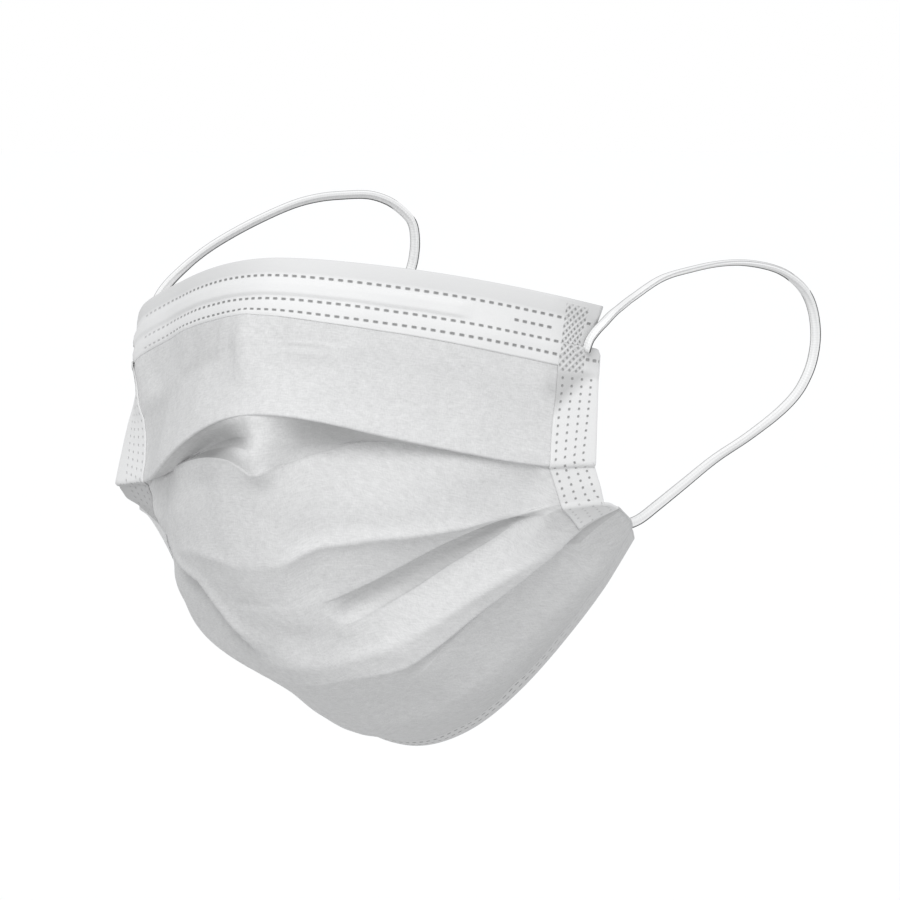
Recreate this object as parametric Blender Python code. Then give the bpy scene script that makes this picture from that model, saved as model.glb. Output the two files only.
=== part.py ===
"""Pleated ear-loop face mask, opened out as it is worn.

The mask faces -Y and the wearer's face goes in from +Y. Z is up and +X is the wearer's left.
The origin is the middle of the top edge, where the nose wire sits on the bridge of the nose.
Sizes are in millimetres here and are turned into metres where the meshes are made.
"""
from collections import namedtuple
from math import pi, sin, sqrt

import bmesh
import bpy
from mathutils import Vector

MM = 0.001

# Flat sizes of the mask before it is put on
HALF_WIDTH = 87.5
WALL = 1.0
STRIP_WALL = 0.8
GAP = 0.3
TOP_HEM_WIDTH = 13.5
BOTTOM_HEM_WIDTH = 10.0
SIDE_BAND_WIDTH = 11.0
SIDE_BAND_TURN_IN = 8.0
HEM_TURN_IN = 4.0

# The nose wire lies inside the top hem, this far below the top edge
WIRE_LENGTH = 95.0
WIRE_WIDTH = 4.0
WIRE_THICKNESS = 0.6
WIRE_DROP = 6.5

# Elastic ear loops
LOOP_DIAMETER = 2.2
LOOP_POINT_SPACING = 5.2

# How the fabric bends from side to side: a rounded nose and chin and straighter cheeks
NOSE_ROUNDNESS = 0.30
CHIN_ROUNDNESS = 0.15
WAIST_POWER = 6

# These bring the humps of rise and waist to a height of one
RISE_PEAK = 27 / 4
WAIST_PEAK = (WAIST_POWER + 1) ** (WAIST_POWER + 1) / WAIST_POWER ** WAIST_POWER

# The pleats are flat this share of the half width before the band, and fade over the next share
BAND_START = 1.0 - SIDE_BAND_WIDTH / HALF_WIDTH
BAND_CLEAR = 0.012
BAND_FADE = 0.04

# Under the band each of these lines lies this share of the way between the folds beside it
SHOULDER_SHARE = 0.45
CREASE_SHARE = 0.8
RIDGE_SHARE = 0.45

# How the layers of a pleat lie: the shares of a pulled-out pleat's four corners on the way to
# the next line, the reach of a rounded corner and its longest share of a side, the lift from
# which a pleat is pressed shut, the lift with which it runs under the band, and how far an
# unpressed tuck turns down again
OPEN_STEPS = (0.0, 0.08, 0.16, 0.24)
CORNER_REACH = 0.35
CORNER_SHARE = 0.3
PRESSED_LIFT = 2.5
BAND_LIFT = -1.5
OPEN_TURN = 1.9

# Offsets of the strips from the middle of the fabric: a hem or band, the nose wire, and the
# ridge of the top hem over the wire, which slopes down over RIDGE_SLOPE and fades at its ends
STRIP_OFFSET = WALL / 2 + GAP + STRIP_WALL / 2
BAND_LOOSENESS = 0.3
WIRE_OFFSET = WALL / 2 + GAP + WIRE_THICKNESS / 2
RIDGE_OFFSET = WIRE_OFFSET + WIRE_THICKNESS / 2 + GAP + STRIP_WALL / 2
RIDGE_SLOPE = 1.2
RIDGE_FADE = 0.06

# The rounded turn of a hem and of a band round the edge of the fabric: how far its middle stands
# off the edge, how far its two shoulders do, and how wide those are as a share of the offset
HEM_ROUND = (1.15, 0.8, 0.6)
HEM_START = 0.3
BAND_ROUND = (1.25, 0.9, 0.75)
MITER_LIMIT = 0.6

# Mesh fineness: columns of the fabric and the wire, steps between two rows of a band, and the
# small step across that a direction is measured over
COLUMNS = 40
WIRE_COLUMNS = 24
BAND_STEPS = 3
ROUTE_STEPS = 20
SMALL_STEP = 0.004

# Each row is a line across the mask from one side edge to the other. It gives the point at the
# nose and both ends. Rise lifts the line two thirds of the way out (below zero it sags), full
# bows it outwards halfway, and waist draws it in just before the side band, which then flares.
Edge = namedtuple("Edge", "x y z rise full waist")
FoldLine = namedtuple("FoldLine", "middle left right")
LINES = {
    "top_edge":    FoldLine((0.0, 0.0, 0.0), Edge(67.5, 46, -14, -0.3, 0.22, 0.0),
                            Edge(63.5, 52, -16.5, -1.3, 0.22, 0.0)),
    "hem_edge":    FoldLine((0.0, -3.0, -12.5), Edge(67, 46, -27.5, -1.6, 0.22, 0.5),
                            Edge(64, 50, -36, -2.5, 0.22, 0.5)),
    "first_fold":  FoldLine((0.0, -13.5, -37.0), Edge(66.5, 45, -52.5, -2.6, 0.22, 1.2),
                            Edge(68, 48, -62, -5.5, 0.22, 4.0)),
    "shoulder":    FoldLine((0.0, -12.5, -49.0), Edge(64, 49, -57, 2.0, 0.22, 1.2),
                            Edge(65, 52, -65, -1.5, 0.22, 4.0)),
    "crease":      FoldLine((0.0, -9.0, -75.5), Edge(65.5, 48.5, -60.5, 4.8, 0.22, 1.2),
                            Edge(63.5, 51.5, -67.5, -2.0, 0.22, 4.0)),
    "second_fold": FoldLine((0.0, -2.0, -87.0), Edge(67, 47, -61.5, 7.0, 0.22, 1.2),
                            Edge(62.5, 50, -68, -1.0, 0.24, 3.5)),
    "ridge":       FoldLine((0.5, 8.0, -97.0), Edge(67.5, 50.5, -63.5, 5.5, 0.22, 1.2),
                            Edge(62, 53.5, -70.5, -3.5, 0.36, 3.5)),
    "third_fold":  FoldLine((1.0, 21.0, -109.0), Edge(68, 56, -65.5, 5.5, 0.22, 1.2),
                            Edge(62.5, 58, -73, -3.0, 0.40, 3.0)),
    "underside":   FoldLine((3.5, 43.0, -123.0), Edge(66, 70, -69.5, -3.5, 0.28, 0.5),
                            Edge(62, 71, -76, -3.0, 0.07, 1.0)),
    "bottom_edge": FoldLine((5.5, 68.0, -128.0), Edge(61, 84, -74, -2.0, 0.20, 0.0),
                            Edge(56, 84, -79, -6.0, 0.10, 0.0)),
}

# Each pleat tucks the fabric in behind its fold. Depth is how far in it goes, lift is how
# high the tuck rises behind the fold (below zero it hangs open), and open is 1 where the
# pleat is pulled flat. Each is given at the middle, halfway out and at the side band.
Pleat = namedtuple("Pleat", "middle_depth half_depth side_depth middle_lift half_lift side_lift "
                            "middle_open half_open")
PLEATS = {
    "first_fold":  Pleat(3.2, 5.0, 2.8, -2.0, 1.0, 3.5, 0.0, 0.0),
    "second_fold": Pleat(2.6, 6.0, 2.8, -2.0, -2.5, 1.5, 1.0, 0.0),
    "third_fold":  Pleat(2.6, 3.6, 2.8, -2.0, -1.6, -1.5, 1.0, 0.0),
}

# Routes of the elastic from the upper corner round to the lower corner. The left one starts on
# the outside of the top hem, the right one behind it, and both end inside the lower corner.
LEFT_LOOP_ROUTE = [
    (66, 38.8, -23), (67.6, 41, -20), (69.9, 44.4, -17.2), (70.5, 50, -13.5), (70.5, 58, -11.5),
    (73.5, 73, -6.5), (78, 84, -4.5), (82, 93, -3.5), (86.5, 100, -3.5), (91.5, 107, -5),
    (95, 111.5, -7.5), (97.5, 116, -11.5), (98.5, 119.5, -16.5), (98.5, 122, -23),
    (97.5, 123, -29), (96, 122.5, -34), (93.5, 121, -39), (89.5, 117.5, -44), (83, 112, -50),
    (76, 106.5, -55.5), (69.5, 100, -62), (64.5, 95, -67), (61, 90.5, -70.5),
    (58.5, 85.5, -71.8), (59.2, 81, -71.5), (60.3, 77, -72),
]
RIGHT_LOOP_ROUTE = [
    (-57.2, 46.6, -21.7), (-59.3, 49.9, -22), (-61.2, 53.4, -21), (-62.4, 56.5, -16.5),
    (-61, 59.5, -11.5), (-58, 64.5, -6.5), (-54, 71, -1.5), (-49, 78.5, 3), (-43.5, 86.5, 7),
    (-38.5, 94, 10), (-34, 100, 11.5), (-29.5, 105.5, 12), (-24.5, 110.5, 12),
    (-20.5, 114, 10.5), (-17.5, 116.5, 8), (-15, 118.5, 4.5), (-14.5, 119.5, 0),
    (-15, 120, -4.5), (-16, 120, -8.5), (-18.5, 118.5, -17), (-23.5, 115, -27),
    (-29, 110.5, -37), (-36.5, 104.5, -48), (-43.5, 98.5, -60), (-49, 93.5, -70),
    (-52, 89.3, -75.3), (-53.4, 84.9, -76.6), (-54.5, 80.6, -76.8), (-56, 77, -77.6),
]


def clear_scene():
    for item in list(bpy.data.objects):
        bpy.data.objects.remove(item, do_unlink=True)


def make_material(name, colour, roughness, metallic=0.0):
    material = bpy.data.materials.new(name)
    material.use_nodes = True
    shader = material.node_tree.nodes["Principled BSDF"]
    shader.inputs["Base Color"].default_value = (*colour, 1.0)
    shader.inputs["Roughness"].default_value = roughness
    shader.inputs["Metallic"].default_value = metallic
    return material


def nose_curve(share):
    """How far back the fabric has gone, from 0 at the nose to 1 at the edge."""
    start = NOSE_ROUNDNESS
    return (sqrt(share * share + start * start) - start) / (sqrt(1.0 + start * start) - start)


def drop_curve(share):
    """How far the line has gone down or up, from 0 at the nose to 1 at the edge."""
    start = CHIN_ROUNDNESS ** 1.5
    return ((share * share + CHIN_ROUNDNESS ** 2) ** 0.75 - start) / (
        (1.0 + CHIN_ROUNDNESS ** 2) ** 0.75 - start)


def on_line(line, across):
    """The point of a fold line at across, which runs from -1 (right) to 1 (left)."""
    share = abs(across)
    side = 1.0 if across >= 0.0 else -1.0
    if BAND_START < share < 1.0:
        along_band = (share - BAND_START) / (1.0 - BAND_START)
        return on_line(line, side * BAND_START).lerp(on_line(line, side), along_band)
    edge = line.left if across >= 0.0 else line.right
    middle_x, middle_y, middle_z = line.middle
    rest = 1.0 - share
    waist = edge.waist * WAIST_PEAK * share ** WAIST_POWER * rest
    x = middle_x * rest * rest + side * (edge.x * share * (1.0 + edge.full * rest) - waist)
    y = middle_y + (edge.y - middle_y) * nose_curve(share)
    z = middle_z + (edge.z - middle_z) * drop_curve(share) + edge.rise * RISE_PEAK * share * share * rest
    return Vector((x, y, z))


def between(middle, half, side, share):
    """A smooth value through its three stations: the middle, halfway out and the side."""
    if share < 0.5:
        blend = 0.5 - 0.5 * _cosine(share / 0.5)
        return middle + (half - middle) * blend
    blend = 0.5 - 0.5 * _cosine((share - 0.5) / 0.5)
    return half + (side - half) * blend


def _cosine(share):
    return sin(pi * (0.5 + share))


def direction(line, across):
    """The direction of a fold line towards the wearer's left."""
    return (on_line(line, across + SMALL_STEP) - on_line(line, across - SMALL_STEP)).normalized()


def inward_at(name, above, across):
    """The direction from the outside of the mask towards the face, at one fold line."""
    line = LINES[name]
    along = direction(line, across)
    down = (on_line(line, across) - on_line(LINES[above], across)).normalized()
    return along.cross(down).normalized(), down


def in_band(across):
    """0 on the open mask and 1 where the side band holds the pleats flat."""
    start = BAND_START - BAND_CLEAR - BAND_FADE
    return min(1.0, max(0.0, (abs(across) - start) / BAND_FADE))


def between_folds(name, upper, lower, share_down, across):
    """A line between two folds, which runs straight from one to the other under the band."""
    free = on_line(LINES[name], across)
    bound = on_line(LINES[upper], across).lerp(on_line(LINES[lower], across), share_down)
    return free.lerp(bound, in_band(across))


def fold_points(name, above, following, across):
    """The four corners of a pleat's Z at one place: the fold, its back, the tuck and its back."""
    pleat = PLEATS[name]
    share = abs(across)
    fold = on_line(LINES[name], across)
    inward, down = inward_at(name, above, across)
    depth = between(pleat.middle_depth, pleat.half_depth, pleat.side_depth, share)
    lift = between(pleat.middle_lift, pleat.half_lift, pleat.side_lift, share)
    opening = min(1.0, 2.0 * in_band(across))
    lift += (BAND_LIFT - lift) * opening
    flattening = max(0.0, 2.0 * in_band(across) - 1.0)
    openness = max(between(pleat.middle_open, pleat.half_open, 0.0, share), flattening)
    layer = WALL + GAP
    back = fold + inward * layer
    tuck = back + inward * (depth - 2.0 * layer) - down * lift
    pressed = min(1.0, max(0.0, lift / PRESSED_LIFT))
    turn = inward * layer * pressed + down * OPEN_TURN * (1.0 - pressed)
    closed = [fold, back, tuck, tuck + turn]
    pulled_flat = [fold.lerp(following, step) for step in OPEN_STEPS]
    return [shut.lerp(flat, openness) for shut, flat in zip(closed, pulled_flat)]


def chamfer(points, fold_corners):
    """Gives every fold corner two points, a little before and after the corner."""
    result = []
    for index, point in enumerate(points):
        if index not in fold_corners:
            result.append(point)
            continue
        before = points[index - 1] - point
        after = points[index + 1] - point
        for arm in (before, after):
            result.append(point + arm.normalized() * min(CORNER_REACH, arm.length * CORNER_SHARE))
    return result


def body_section(across):
    """The middle of the fabric from the top edge to the bottom edge, at one place across."""
    top = on_line(LINES["top_edge"], across)
    hem = on_line(LINES["hem_edge"], across)
    shoulder = between_folds("shoulder", "first_fold", "second_fold", SHOULDER_SHARE, across)
    crease = between_folds("crease", "first_fold", "second_fold", CREASE_SHARE, across)
    ridge = between_folds("ridge", "second_fold", "third_fold", RIDGE_SHARE, across)
    underside = on_line(LINES["underside"], across)
    bottom = on_line(LINES["bottom_edge"], across)
    first = fold_points("first_fold", "hem_edge", shoulder, across)
    second = fold_points("second_fold", "crease", ridge, across)
    third = fold_points("third_fold", "ridge", underside, across)
    points = [top, hem, hem.lerp(first[0], 0.5)] + first
    points += [shoulder, shoulder.lerp(crease, 0.5), crease] + second
    points += [ridge] + third + [third[-1].lerp(underside, 0.5), underside]
    points += [underside.lerp(bottom, 0.5), bottom]
    folds = [3, 4, 5, 6, 10, 11, 12, 13, 15, 16, 17, 18]
    return chamfer(points, folds)


def grid_normals(grid):
    """The outward direction at each point of a grid of rows down and columns across."""
    rows = len(grid)
    columns = len(grid[0])
    normals = []
    for i in range(rows):
        row = []
        for j in range(columns):
            along = grid[i][min(j + 1, columns - 1)] - grid[i][max(j - 1, 0)]
            arriving = (grid[i][j] - grid[max(i - 1, 0)][j]).normalized()
            leaving = (grid[min(i + 1, rows - 1)][j] - grid[i][j]).normalized()
            down = arriving + leaving
            row.append(down.cross(along).normalized())
        normals.append(row)
    return normals


def add_object(name, vertices, faces, material):
    mesh = bpy.data.meshes.new(name)
    mesh.from_pydata([tuple(v * MM) for v in vertices], [], faces)
    shape = bmesh.new()
    shape.from_mesh(mesh)
    bmesh.ops.recalc_face_normals(shape, faces=shape.faces)
    if shape.calc_volume(signed=True) < 0.0:
        bmesh.ops.reverse_faces(shape, faces=shape.faces)
    shape.to_mesh(mesh)
    shape.free()
    mesh.materials.append(material)
    mesh.shade_smooth()
    mesh.set_sharp_from_angle(angle=pi / 4)
    item = bpy.data.objects.new(name, mesh)
    bpy.context.scene.collection.objects.link(item)
    return item


def add_walled_sheet(name, grid, wall, material):
    """A closed solid of one wall thickness round a grid of points in its middle."""
    rows = len(grid)
    columns = len(grid[0])
    normals = grid_normals(grid)
    vertices = []
    for side in (0.5, -0.5):
        for i in range(rows):
            for j in range(columns):
                vertices.append(grid[i][j] + normals[i][j] * wall * side)
    back = rows * columns

    def at(i, j):
        return i * columns + j

    faces = []
    for i in range(rows - 1):
        for j in range(columns - 1):
            square = (at(i, j), at(i + 1, j), at(i + 1, j + 1), at(i, j + 1))
            faces.append(square)
            faces.append(tuple(back + corner for corner in reversed(square)))
    rim = [at(i, 0) for i in range(rows)]
    rim += [at(rows - 1, j) for j in range(1, columns)]
    rim += [at(i, columns - 1) for i in range(rows - 2, -1, -1)]
    rim += [at(0, j) for j in range(columns - 2, 0, -1)]
    for here, there in zip(rim, rim[1:] + rim[:1]):
        faces.append((here, back + here, back + there, there))
    return add_object(name, vertices, faces, material)


def spread(count, low=-1.0, high=1.0):
    return [low + (high - low) * step / count for step in range(count + 1)]


def body_stations():
    """Places across the mask, closer together where the pleats run into the side bands."""
    flat_from = BAND_START - BAND_CLEAR
    folded_to = flat_from - BAND_FADE
    half = spread(COLUMNS // 2 - 5, 0.0, folded_to)[1:]
    half += [(folded_to + flat_from) / 2, flat_from, BAND_START, (BAND_START + 1.0) / 2, 1.0]
    return [-share for share in reversed(half)] + [0.0] + half


def add_body(material):
    sections = [body_section(across) for across in body_stations()]
    grid = [[section[i] for section in sections] for i in range(len(sections[0]))]
    return add_walled_sheet("mask_body", grid, WALL, material)


def strip_frame(edge_name, inner_name, across):
    """A hem's edge point with the directions into the fabric and outwards from it."""
    edge = on_line(LINES[edge_name], across)
    into = (on_line(LINES[inner_name], across) - edge).normalized()
    outward = into.cross(direction(LINES[edge_name], across)).normalized()
    if edge_name == "bottom_edge":
        outward.negate()
    return edge, into, outward


def hem_profile(width, ridge):
    """Distance into the fabric and outward offset, from the inner leg round to the outer leg."""
    out = STRIP_OFFSET
    over = out + (RIDGE_OFFSET - out) * ridge
    half = WIRE_WIDTH / 2 + GAP
    ridge_top = WIRE_DROP - half
    ridge_foot = WIRE_DROP + half
    middle, shoulder, share = HEM_ROUND
    outer = [(HEM_START, out), (ridge_top - RIDGE_SLOPE, out), (ridge_top, over),
             (ridge_foot, over), (ridge_foot + RIDGE_SLOPE, out), (width, out)]
    turn = [(HEM_TURN_IN, -out), (HEM_START, -out), (-shoulder, -share * out), (-middle, 0.0),
            (-shoulder, share * out)]
    return turn + outer


def add_hem(name, edge_name, inner_name, width, with_ridge, material):
    columns = []
    wire_share = WIRE_LENGTH / 2 / HALF_WIDTH
    for across in body_stations():
        edge, into, outward = strip_frame(edge_name, inner_name, across)
        ridge = min(1.0, max(0.0, (wire_share + RIDGE_FADE - abs(across)) / RIDGE_FADE))
        profile = hem_profile(width, ridge if with_ridge else 0.0)
        columns.append([edge + into * far + outward * out for far, out in profile])
    grid = [[column[i] for column in columns] for i in range(len(columns[0]))]
    return add_walled_sheet(name, grid, STRIP_WALL, material)


def add_nose_wire(material):
    wire_share = WIRE_LENGTH / 2 / HALF_WIDTH
    columns = []
    for across in spread(WIRE_COLUMNS, -wire_share, wire_share):
        edge, into, outward = strip_frame("top_edge", "hem_edge", across)
        upper = edge + into * (WIRE_DROP - WIRE_WIDTH / 2) + outward * WIRE_OFFSET
        lower = edge + into * (WIRE_DROP + WIRE_WIDTH / 2) + outward * WIRE_OFFSET
        columns.append([upper, lower])
    grid = [[column[i] for column in columns] for i in range(2)]
    return add_walled_sheet("nose_wire", grid, WIRE_THICKNESS, material)


def band_rows(side):
    """Rows of a side band from just under the top hem to just above the bottom hem."""
    names = ["hem_edge", "first_fold", "second_fold", "third_fold", "underside", "bottom_edge"]
    start = BAND_START
    stations = [start, (start + 1.0) / 2, 1.0]
    turned_in = [1.0, 1.0 - SIDE_BAND_TURN_IN / HALF_WIDTH]
    middle, shoulder, share = BAND_ROUND
    rows = []
    for k, name in enumerate(names):
        line = LINES[name]
        before = on_line(LINES[names[max(k - 1, 0)]], side)
        after = on_line(LINES[names[min(k + 1, len(names) - 1)]], side)
        here = on_line(line, side)
        arriving = (here - before).normalized()
        leaving = (after - here).normalized()
        down = (arriving + leaving).normalized()
        along = (on_line(line, side) - on_line(line, side * start)).normalized()
        outward = down.cross(along).normalized() * side
        bend = sqrt((1.0 + arriving.dot(leaving)) / 2) if 0 < k < len(names) - 1 else 1.0
        off = (STRIP_OFFSET + BAND_LOOSENESS) / max(MITER_LIMIT, bend)
        row = [on_line(line, side * s) + outward * off for s in stations]
        row.append(here + along * shoulder + outward * off * share)
        row.append(here + along * middle)
        row.append(here + along * shoulder - outward * off * share)
        row += [on_line(line, side * s) - outward * off for s in turned_in]
        rows.append(row)
    return rows


def add_side_band(name, side, material):
    rows = band_rows(side)
    top_gap = STRIP_WALL / 2 + GAP
    first = [a + (b - a).normalized() * top_gap for a, b in zip(rows[0], rows[1])]
    reach = BOTTOM_HEM_WIDTH + top_gap
    last = [b + (a - b).normalized() * reach for a, b in zip(rows[4], rows[5])]
    corners = [first] + rows[1:5] + [last]
    grid = [corners[0]]
    for upper, lower in zip(corners, corners[1:]):
        for step in range(1, BAND_STEPS + 1):
            grid.append([a.lerp(b, step / BAND_STEPS) for a, b in zip(upper, lower)])
    return add_walled_sheet(name, grid, STRIP_WALL, material)


def smooth_route(points, spacing):
    """Points at an even spacing on a smooth curve through the route's own points."""
    route = [Vector(point) for point in points]
    ends = [route[0] * 2 - route[1]] + route + [route[-1] * 2 - route[-2]]
    fine = []
    for a, b, c, d in zip(ends, ends[1:], ends[2:], ends[3:]):
        for step in range(ROUTE_STEPS):
            t = step / ROUTE_STEPS
            fine.append(0.5 * ((2 * b) + (c - a) * t + (2 * a - 5 * b + 4 * c - d) * t * t
                               + (3 * b - a - 3 * c + d) * t * t * t))
    fine.append(route[-1])
    total = sum((b - a).length for a, b in zip(fine, fine[1:]))
    count = round(total / spacing)
    result = [fine[0]]
    travelled = 0.0
    for a, b in zip(fine, fine[1:]):
        length = (b - a).length
        while len(result) < count and travelled + length >= total * len(result) / count:
            result.append(a.lerp(b, (total * len(result) / count - travelled) / length))
        travelled += length
    result.append(fine[-1])
    return result


def add_loop(name, route, material):
    points = smooth_route(route, LOOP_POINT_SPACING)
    curve = bpy.data.curves.new(name, "CURVE")
    curve.dimensions = "3D"
    curve.bevel_depth = LOOP_DIAMETER / 2 * MM
    curve.bevel_resolution = 2
    curve.use_fill_caps = True
    spline = curve.splines.new("POLY")
    spline.points.add(len(points) - 1)
    for target, point in zip(spline.points, points):
        target.co = (*(point * MM), 1.0)
    curve.materials.append(material)
    item = bpy.data.objects.new(name, curve)
    bpy.context.scene.collection.objects.link(item)
    return item


def main():
    clear_scene()
    fabric = make_material("nonwoven_fabric", (0.80, 0.81, 0.82), 0.85)
    binding = make_material("binding_strip", (0.87, 0.88, 0.88), 0.80)
    elastic = make_material("elastic_cord", (0.86, 0.86, 0.86), 0.75)
    wire = make_material("coated_wire", (0.85, 0.85, 0.85), 0.45)
    add_body(fabric)
    add_hem("top_hem", "top_edge", "hem_edge", TOP_HEM_WIDTH, True, binding)
    add_hem("bottom_hem", "bottom_edge", "underside", BOTTOM_HEM_WIDTH, False, binding)
    add_nose_wire(wire)
    add_side_band("side_band_left", 1.0, binding)
    add_side_band("side_band_right", -1.0, binding)
    add_loop("ear_loop_left", LEFT_LOOP_ROUTE, elastic)
    add_loop("ear_loop_right", RIGHT_LOOP_ROUTE, elastic)


main()
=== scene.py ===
"""Looks of the pleated ear-loop face mask: soft fabric, welded hems, dotted side bands, elastic.

The mask faces -Y and the wearer's face goes in from +Y. Z is up and +X is the wearer's left.
Shapes are worked out in millimetres and turned into metres where the meshes are made.
"""

from collections import namedtuple
from functools import reduce
from math import cos, pi, radians, sin

import bmesh
import bpy
import numpy as np
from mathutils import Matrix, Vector


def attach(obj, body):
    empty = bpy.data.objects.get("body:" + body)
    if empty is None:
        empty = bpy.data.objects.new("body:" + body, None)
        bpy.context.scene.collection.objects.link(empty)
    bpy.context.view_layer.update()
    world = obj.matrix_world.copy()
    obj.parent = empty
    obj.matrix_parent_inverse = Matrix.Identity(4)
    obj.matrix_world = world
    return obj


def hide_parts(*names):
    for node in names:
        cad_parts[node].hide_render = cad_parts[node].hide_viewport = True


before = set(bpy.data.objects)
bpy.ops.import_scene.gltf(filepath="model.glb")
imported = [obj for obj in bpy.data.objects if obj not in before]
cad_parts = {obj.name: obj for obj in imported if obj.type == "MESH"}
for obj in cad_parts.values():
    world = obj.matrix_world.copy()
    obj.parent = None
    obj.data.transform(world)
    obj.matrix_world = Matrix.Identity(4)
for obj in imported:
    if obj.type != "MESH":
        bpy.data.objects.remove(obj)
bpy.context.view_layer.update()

MM = 0.001
UV_MM = 100.0

# Camera: the photograph's own viewing angle
CAMERA_AZIMUTH = 24.0
CAMERA_ELEVATION = 3.0
CAMERA_DISTANCE = 1500.0
CAMERA_LENS = 240.0
AIM_RIGHT = 41.5
AIM_UP = -47.25


def direction_to(azimuth, elevation):
    """The direction from the mask to a place round it, 0 degrees being straight in front."""
    a = radians(azimuth)
    e = radians(elevation)
    return Vector((sin(a) * cos(e), -cos(a) * cos(e), sin(e)))


def make_camera():
    a = radians(CAMERA_AZIMUTH)
    e = radians(CAMERA_ELEVATION)
    back = direction_to(CAMERA_AZIMUTH, CAMERA_ELEVATION)
    right = Vector((cos(a), sin(a), 0.0))
    up = Vector((-sin(a) * sin(e), cos(a) * sin(e), cos(e)))
    aim = right * AIM_RIGHT + up * AIM_UP
    data = bpy.data.cameras.new("product_camera")
    data.lens = CAMERA_LENS
    data.sensor_width = 36.0
    data.clip_start = 0.05
    data.clip_end = 60.0
    camera = bpy.data.objects.new("product_camera", data)
    eye = back * CAMERA_DISTANCE
    camera.location = eye * MM
    camera.rotation_euler = (aim - eye).to_track_quat("-Z", "Y").to_euler()
    bpy.context.scene.collection.objects.link(camera)
    bpy.context.scene.camera = camera


make_camera()

# Sizes of the mask
HALF_WIDTH = 87.5
BODY_WALL = 0.45
STRIP_WALL = 0.3
# The top hem gets wider towards the near end. Its pattern is the mm down it of its three rows
# of weld marks and of its lower edge; the stops are where these lie at places across.
HEM_PATTERN = (0.0, 4.3, 10.4, 13.5, 15.6)
HEM_STOPS = [(-1.0, 3.7, 9.3, 12.0, 13.0), (-0.25, 3.7, 9.4, 12.1, 13.2), (0.0, 4.0, 9.9, 12.8, 14.3),
             (0.17, 4.3, 10.3, 13.5, 15.3), (0.45, 4.5, 10.7, 13.9, 16.1),
             (0.75, 4.6, 10.8, 14.0, 16.7), (1.0, 4.6, 10.8, 14.0, 16.7)]
TOP_HEM_WIDTH = HEM_PATTERN[-1]
BOTTOM_HEM_WIDTH = 10.0
SIDE_BAND_WIDTH = 11.0
BAND_START = 1.0 - SIDE_BAND_WIDTH / HALF_WIDTH
WIRE_DROP = 7.2
WIRE_WIDTH = 3.6
WIRE_HALF_LENGTH = 47.5
WIRE_LIFT = 0.62

# How round the mask is at the nose and at the chin, and the highest points of the curves for a
# line's rise and waist, by which those are scaled
NOSE_ROUNDNESS = 0.30
CHIN_ROUNDNESS = 0.15
RISE_PEAK = 27 / 4
WAIST_PEAK = 7 ** 7 / 6 ** 6

# The lines that run across the mask: a point in its middle and one at each side edge. A line
# rises between them, is fuller than an even curve and has a waist near its edge.
Edge = namedtuple("Edge", "x y z rise full waist")
FoldLine = namedtuple("FoldLine", "middle left right")
LINES = {
    "top_edge": FoldLine(
        (0, 0, 0), Edge(67.5, 46, -14, -0.3, 0.22, 0), Edge(63.5, 52, -16.5, -1.3, 0.22, 0)),
    "hem_edge": FoldLine(
        (0, -3, -12.5), Edge(67, 46, -27.5, -1.6, 0.22, 0.5), Edge(64, 50, -36, -2.5, 0.22, 0.5)),
    "first_fold": FoldLine(
        (0, -13.5, -37), Edge(66.5, 45, -52.5, -2.6, 0.22, 1.2), Edge(68, 48, -62, -5.5, 0.22, 4)),
    "shoulder": FoldLine(
        (0, -12.5, -49), Edge(64, 49, -57, 2, 0.22, 1.2), Edge(65, 52, -65, -1.5, 0.22, 4)),
    "crease": FoldLine(
        (0, -9, -75.5), Edge(65.5, 48.5, -60.5, 4.8, 0.22, 1.2), Edge(63.5, 51.5, -67.5, -2, 0.22, 4)),
    "second_fold": FoldLine(
        (0, -2, -87), Edge(67, 47, -61.5, 9, 0.22, 1.2), Edge(62.5, 50, -68, -1, 0.24, 3.5)),
    "ridge": FoldLine(
        (0.5, 8, -97), Edge(67.5, 50.5, -63.5, 5.5, 0.22, 1.2), Edge(62, 53.5, -70.5, -3.5, 0.36, 3.5)),
    "third_fold": FoldLine(
        (1, 21, -109), Edge(68, 56, -65.5, 5.5, 0.22, 1.2), Edge(62.5, 58, -73, -3, 0.4, 3)),
    "underside": FoldLine(
        (3.5, 43, -123), Edge(66, 70, -69.5, -3.5, 0.28, 0.5), Edge(62, 71, -76, -3, 0.07, 1)),
    "bottom_edge": FoldLine(
        (5.5, 68, -128), Edge(61, 84, -74, -2, 0.2, 0), Edge(56, 84, -79, -6, 0.1, 0)),
}

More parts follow.
